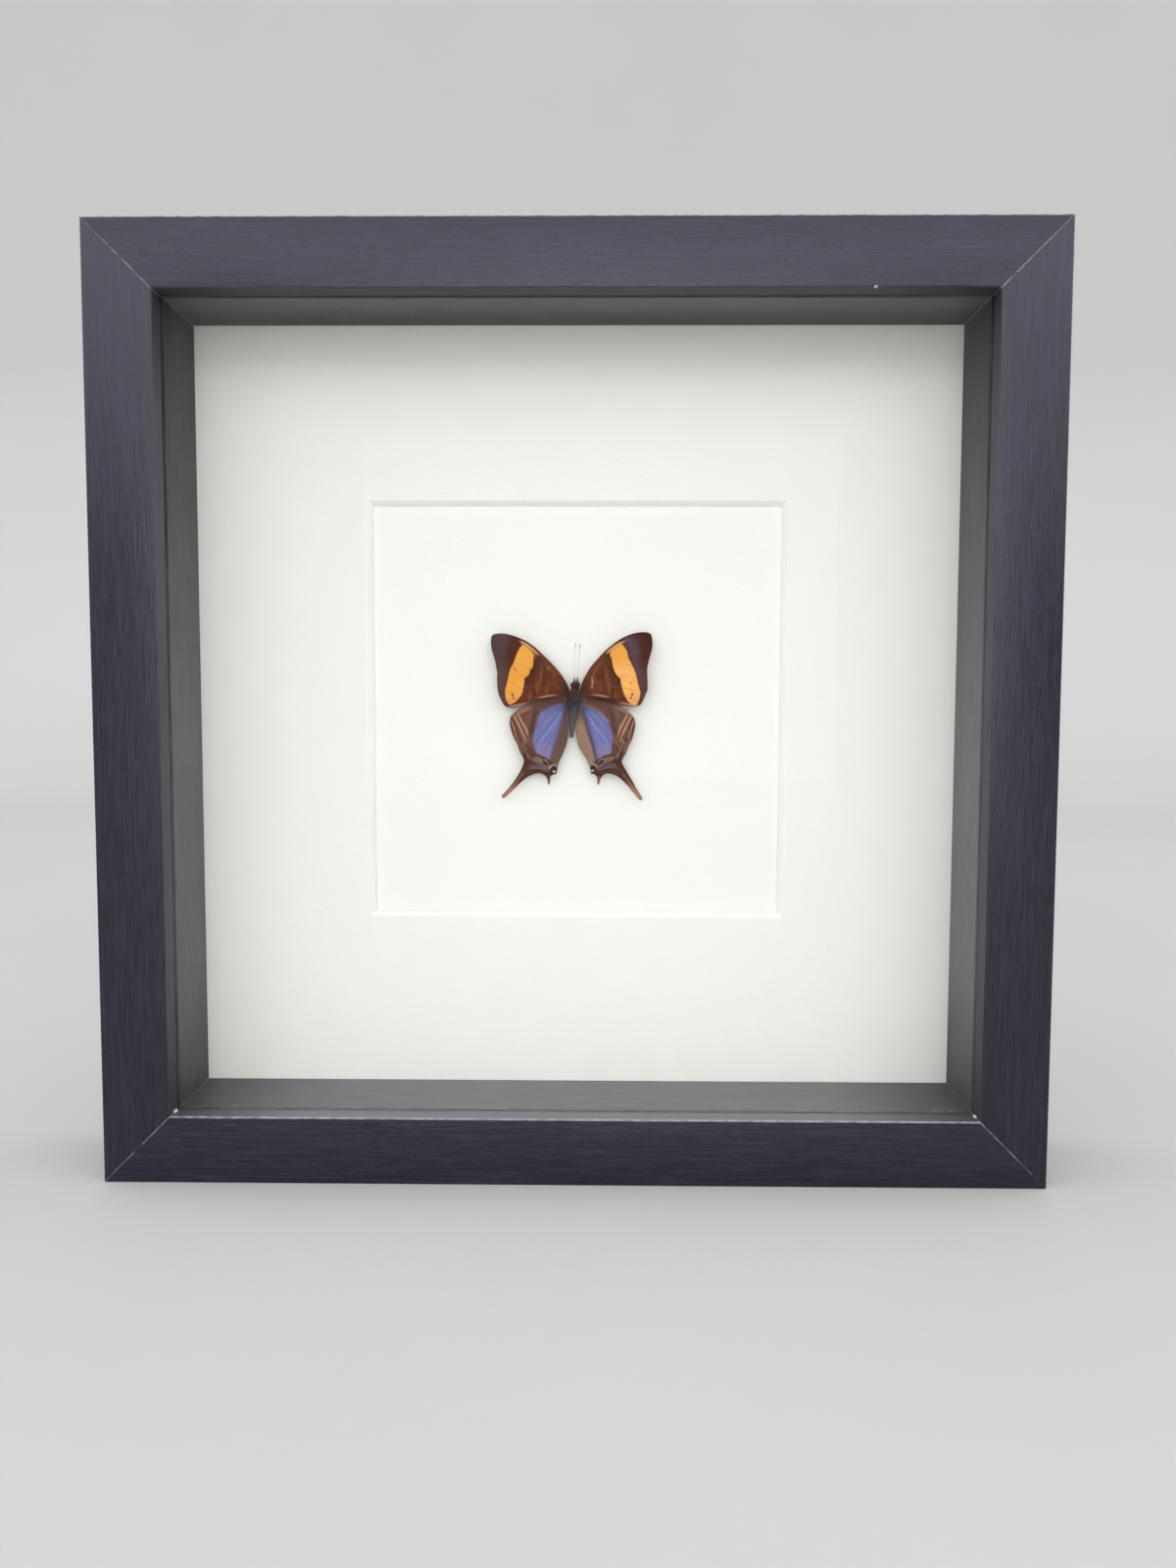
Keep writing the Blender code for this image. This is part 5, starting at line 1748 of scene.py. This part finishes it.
# %% [markdown]
# ## Hair and fringes
#
# Long soft hair covers the thorax, the roots of the wings and the folded inner margins, and a fringe
# of narrow scales edges each wing. Geometry Nodes plants them: points are scattered on the skin where
# its hair field allows it, a thin bent cone is set on each, and all of them become plain mesh. The same
# tree serves body and wings with other numbers, so it is made once with named inputs.

# %% A tree that plants hair
class NodeGroup(Recipe):
    """A Geometry Nodes tree with named inputs."""

    def __init__(self, name, inputs):
        super().__init__(bpy.data.node_groups.new(name, "GeometryNodeTree"))
        self.keys = {}
        self.tree.interface.new_socket("Geometry", in_out="OUTPUT", socket_type="NodeSocketGeometry")
        for label, kind in {"Geometry": "Geometry", **inputs}.items():
            socket = self.tree.interface.new_socket(label, in_out="INPUT", socket_type="NodeSocket" + kind)
            self.keys[label] = socket.identifier
        self.inputs = self.node("NodeGroupInput").outputs

    def vector(self, operation, a, b):
        """Vector maths; to SCALE, b is a number."""
        key = "Scale" if operation == "SCALE" else 1
        return self.node("ShaderNodeVectorMath", {0: a, key: b}, operation=operation).outputs[0]

    def random_vector(self, low, high, seed):
        inputs = {0: low, 1: high, "Seed": seed}
        return self.node("FunctionNodeRandomValue", inputs, data_type="FLOAT_VECTOR").outputs[0]

    def ends_with(self, geometry):
        """Realized, coloured and given back."""
        real = self.node("GeometryNodeRealizeInstances", {"Geometry": geometry}).outputs[0]
        done = self.node("GeometryNodeSetMaterial", {"Geometry": real, "Material": self.inputs["Material"]})
        self.node("NodeGroupOutput", {"Geometry": done.outputs[0]})

    def grown_on(self, mesh, name, **values):
        """A new object with what the tree makes from that mesh."""
        item = added(name, mesh)
        change = item.modifiers.new("grow", "NODES")
        change.node_group = self.tree
        for label, value in values.items():
            change[self.keys[label]] = value
        return made_plain(item)


HAIR_BEND = 0.25  # how far the tip swings aside, as a share of the length


def hair_tree():
    kinds = {"Density": "Float", "Length": "Float", "Width": "Float", "Lean": "Vector", "Mess": "Float",
             "Seed": "Int", "Material": "Material"}
    t = NodeGroup("hair", kinds)
    length, seed = t.inputs["Length"], t.inputs["Seed"]
    wanted = t.node("GeometryNodeInputNamedAttribute", {"Name": "hair"}, data_type="FLOAT").outputs[0]
    density = t.times(wanted, t.inputs["Density"])
    scatter = {"Mesh": t.inputs["Geometry"], "Density": density, "Seed": seed}
    spots = t.node("GeometryNodeDistributePointsOnFaces", scatter).outputs
    messy = t.vector("SCALE", t.random_vector((-1, -1, -1), (1, 1, 1), seed), t.inputs["Mess"])
    course = t.vector("ADD", spots[1], t.vector("ADD", t.inputs["Lean"], messy))
    turn = t.node("FunctionNodeAlignRotationToVector", {"Vector": course}, axis="Z").outputs[0]
    sizes = {"Radius Top": 0.0, "Radius Bottom": t.inputs["Width"], "Depth": length}
    cone = t.node("GeometryNodeMeshCone", {"Vertices": 3, "Side Segments": 3, **sizes}, fill_type="NONE")
    share = t.math("DIVIDE", t.split(t.node("GeometryNodeInputPosition").outputs[0])[2], length)
    bend = t.join(t.times(t.times(share, share), t.times(length, HAIR_BEND)), 0.0, 0.0)
    bent = t.node("GeometryNodeSetPosition", {"Geometry": cone.outputs[0], "Offset": bend}).outputs[0]
    size = t.node("FunctionNodeRandomValue", {2: 0.55, 3: 1.15, "Seed": 3}, data_type="FLOAT").outputs[1]
    places = {"Points": spots[0], "Instance": bent, "Rotation": turn, "Scale": size}
    planted = t.node("GeometryNodeInstanceOnPoints", places).outputs[0]
    t.ends_with(planted)
    return t


hair = hair_tree()
print("hair tree inputs:", ", ".join(hair.keys))

# %% Hair on the body
def make_hair_finish(name, dark, light):
    f = Finish(name, Roughness=0.6, Specular_IOR_Level=0.2)
    f.set(Base_Color=f.mix(f.step(f.noise(f.mm, 2.5, 2.0), 0.35, 0.65), dark, light))
    return f


def soft_zone(x, low, high, soft):
    """1 between low and high, falling to 0 over the soft distance."""
    return np.clip((x - low) / soft + 0.5, 0, 1) * np.clip((high - x) / soft + 0.5, 0, 1)


def mesh_places(mesh):
    """Where the mesh's points are on the specimen: x, z and height in mm."""
    flat = np.empty(len(mesh.vertices) * 3, np.float32)
    mesh.vertices.foreach_get("co", flat)
    x, y, z = flat.reshape(-1, 3).T / MM
    return x - THORAX_X, z - THORAX_Z, BOARD_FACE / MM - y


def grow(item, weights, name, finish, slot, density, length, width, lean, mess, seed):
    """Plants hair on a piece where the weights allow it: density on a square mm, sizes in mm."""
    mesh = item.data.copy()
    add_fields(mesh, {"hair": weights})
    grown = hair.grown_on(mesh, name, Density=density * HAIRS, Length=length * MM, Width=width * MM,
                          Lean=lean, Mess=mess, Seed=seed, Material=finish.material)
    shown(grown)


HAIRS = 1e6  # hairs on a square metre for one on each square mm
BARE_BELOW = 0.8  # mm over the board
BODY_HAIR = (  # name, zone along the body and its softness, dark and light, lean, length, density
    ("hair_thorax", (-2.4, 2.6, 0.8), ((46, 26, 22), (104, 74, 62)), (0.0, -0.2, -0.9), 1.1, 34),
    ("hair_head", (2.4, 5.2, 0.6), ((44, 19, 17), (86, 46, 40)), (0.0, -0.4, 0.9), 0.3, 34),
    ("hair_thorax_pale", (-0.6, 1.7, 0.5), ((120, 98, 90), (186, 172, 164)), (1.6, -0.3, -0.5), 1.2, 2.5),
    ("hair_waist", (-4.2, -1.9, 0.6), ((44, 50, 68), (84, 96, 122)), (0.0, -0.1, -1.4), 1.3, 30),
    ("hair_abdomen", (-12.4, -3.8, 0.6), ((76, 68, 70), (140, 130, 126)), (0.0, 0.0, -2.2), 0.6, 26),
)
_, body_along, body_height = mesh_places(body.data)
outside = np.clip((body_height - BARE_BELOW) / 1.2, 0, 1)
for name, zone, colours, lean, length, density in BODY_HAIR:
    finish = make_hair_finish(name, *[paint(*colour) for colour in colours])
    grow(body, soft_zone(body_along, *zone) * outside, name, finish, "insect_body",
         density=density, length=length, width=0.022, lean=lean, mess=0.55, seed=11)

# %% Hair on the wings
WING_HAIR = {  # dark and light
    "forewing_left": ((62, 30, 20), (110, 66, 46)),
    "forewing_right": ((62, 30, 20), (110, 66, 46)),
    "hindwing_left": ((70, 56, 54), (128, 96, 80)),
    "hindwing_right": ((120, 94, 80), (190, 156, 130)),
}
OUTWARDS = 1.3  # how much the hair leans away from the body
FOLD_END = -19.5  # mm from the thorax
ROOT_REACH = 4.2  # mm from the thorax where the root's hair ends


def field_of(mesh, name):
    values = np.empty(len(mesh.vertices), np.float32)
    mesh.attributes[name].data.foreach_get("value", values)
    return values


for name, wing in wings.items():
    kind, side = name.split("_")
    fore = kind == "forewing"
    x, z, height = mesh_places(wing.data)
    plane = FOREWING_PLANE if fore else HINDWING_PLANE
    front = height > plane[0] + plane[1] * np.abs(x) - 0.25
    weights = soft_zone(np.hypot(x, z - 0.2), 0.0, ROOT_REACH, 1.6)
    if not fore:
        fold = np.clip(0.2 - field_of(wing.data, "fold") * 1.5, 0, 1) * (z > FOLD_END)
        weights = np.maximum(fold, weights)
    outwards = -OUTWARDS if side == "left" else OUTWARDS
    lean = (outwards, -0.6, -0.5) if fore else (0.35 * outwards, -0.15, -2.6)
    length, density = (0.8, 26) if fore else (1.0, 15)
    finish = make_hair_finish("hair_" + name, *[paint(*colour) for colour in WING_HAIR[name]])
    grow(wing, front * weights, name + "_hair", finish, kind,
         density=density, length=length, width=0.02, lean=lean, mess=0.3, seed=5)

# %% Fringes
FRINGE_DARK = paint(52, 32, 28)
FRINGE_LIGHT = paint(132, 98, 84)
ON_RIM = 0.02

fringe_finish = make_hair_finish("fringe_scales", FRINGE_DARK, FRINGE_LIGHT)
for name, wing in wings.items():
    x, z, _ = mesh_places(wing.data)
    weights = (field_of(wing.data, "rim") < ON_RIM) * np.clip(np.hypot(x, z) / 4 - 1, 0, 1)
    grow(wing, weights, name + "_fringe", fringe_finish, name.split("_")[0],
         density=70, length=0.24, width=0.022, lean=(0.0, 0.0, 0.0), mess=0.35, seed=9)

# %% [markdown]
# ## Filler and dust
#
# The frame maker pressed a little white filler into the two lower corners of the lip, where the mitres
# gape. Behind the glass, crumbs of the cut mat lie on the bottom strip near its ends. A crumb is a rough
# flake of no rule at all, so a tree scatters some twenty of them over two small patches, turns each its
# own way and gives it its own size. The filler is a soft lump, so it is a ball pressed into the corner.

# %% Filler in the lip's corners
FILLER = [(-1, 0.8), (1, 0.65)]  # left or right, and its size in mm
PRESSED_IN = 0.35  # of its size
LUMP = (0.75, 1.7, 0.65)  # its shape: width, depth and height

filler_white = Finish("filler_white", Roughness=0.85)
crumbly = filler_white.noise(filler_white.mm, 3.0, 4.0, 0.6)
filler_white.set(Base_Color=filler_white.mix(crumbly, paint(150, 148, 144), paint(222, 220, 215)))
filler_white.relief(crumbly, 0.15)


def filler_lump(side, size):
    """A ball squeezed into the corner of the lip, longer from front to back than it is wide."""
    points, faces = ball((0.0, 0.0, 0.0), 1.0, rings=18, sides=28)
    reach = OPENING - PRESSED_IN * size * MM
    middle = Vector((side * reach, FRONT + LIP * 0.6, MIDDLE_Z - reach))
    shaped = []
    for p in points:
        x, y, z = p / MM
        bumps = 1 + 0.2 * sin(x * 5 + side) * cos(z * 4 + y * 3) + 0.08 * sin(y * 9)
        shaped.append(middle + p * Vector(LUMP) * size * bumps)
    return shaped, faces


lumps = gathered("corner_filler", [(*filler_lump(side, size), 0) for side, size in FILLER], filler_white)
shown(lumps)

# %% Crumbs on the bottom strip
CRUMB_ENDS = ((-0.98, -0.85), (0.9, 0.985))  # where the patches start and end, as shares of the opening
CRUMB_DEPTHS = (0.2 * MM, 1.4 * MM)  # behind the strip's front edge
OVER_STRIP = 0.06 * MM
CRUMBS = 0.7e6  # on a square metre


def crumb_tree():
    t = NodeGroup("crumbs", {"Density": "Float", "Size": "Float", "Seed": "Int", "Material": "Material"})
    scatter = {"Mesh": t.inputs["Geometry"], "Density": t.inputs["Density"], "Seed": t.inputs["Seed"]}
    spots = t.node("GeometryNodeDistributePointsOnFaces", scatter).outputs[0]
    flake = t.node("GeometryNodeMeshIcoSphere", {"Radius": t.inputs["Size"], "Subdivisions": 2}).outputs[0]
    dents = t.node("ShaderNodeTexNoise", {"Scale": 6000.0}).outputs["Color"]
    shift = t.vector("SCALE", t.vector("SUBTRACT", dents, (0.5, 0.5, 0.5)), t.inputs["Size"])
    rough = t.node("GeometryNodeSetPosition", {"Geometry": flake, "Offset": shift}).outputs[0]
    turn = t.random_vector((0, 0, 0), (6, 6, 6), 1)
    size = t.random_vector((0.4, 0.4, 0.25), (1.6, 1.0, 0.6), 2)
    places = {"Points": spots, "Instance": rough, "Rotation": turn, "Scale": size}
    t.ends_with(t.node("GeometryNodeInstanceOnPoints", places).outputs[0])
    return t


def dusty_patches():
    """Two flat patches just over the bottom strip, near its ends."""
    low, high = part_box("spacer_bottom")
    front, back = [low.y + depth for depth in CRUMB_DEPTHS]
    points, faces = [], []
    for start, end in CRUMB_ENDS:
        x0, x1 = start * OPENING, end * OPENING
        corners = ((x0, front), (x1, front), (x1, back), (x0, back))
        faces.append(tuple(range(len(points), len(points) + 4)))
        points += [(x, y, high.z + OVER_STRIP) for x, y in corners]
    mesh = bpy.data.meshes.new("dusty_patches")
    mesh.from_pydata(points, [], faces)
    return mesh


crumbs = crumb_tree().grown_on(
    dusty_patches(), "mat_crumbs", Density=CRUMBS, Size=0.17 * MM, Seed=4, Material=filler_white.material)
shown(crumbs)

# %% Sizes and finish
boxes = {"cad": cad_box, "visual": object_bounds()}
" and ".join(boxes)
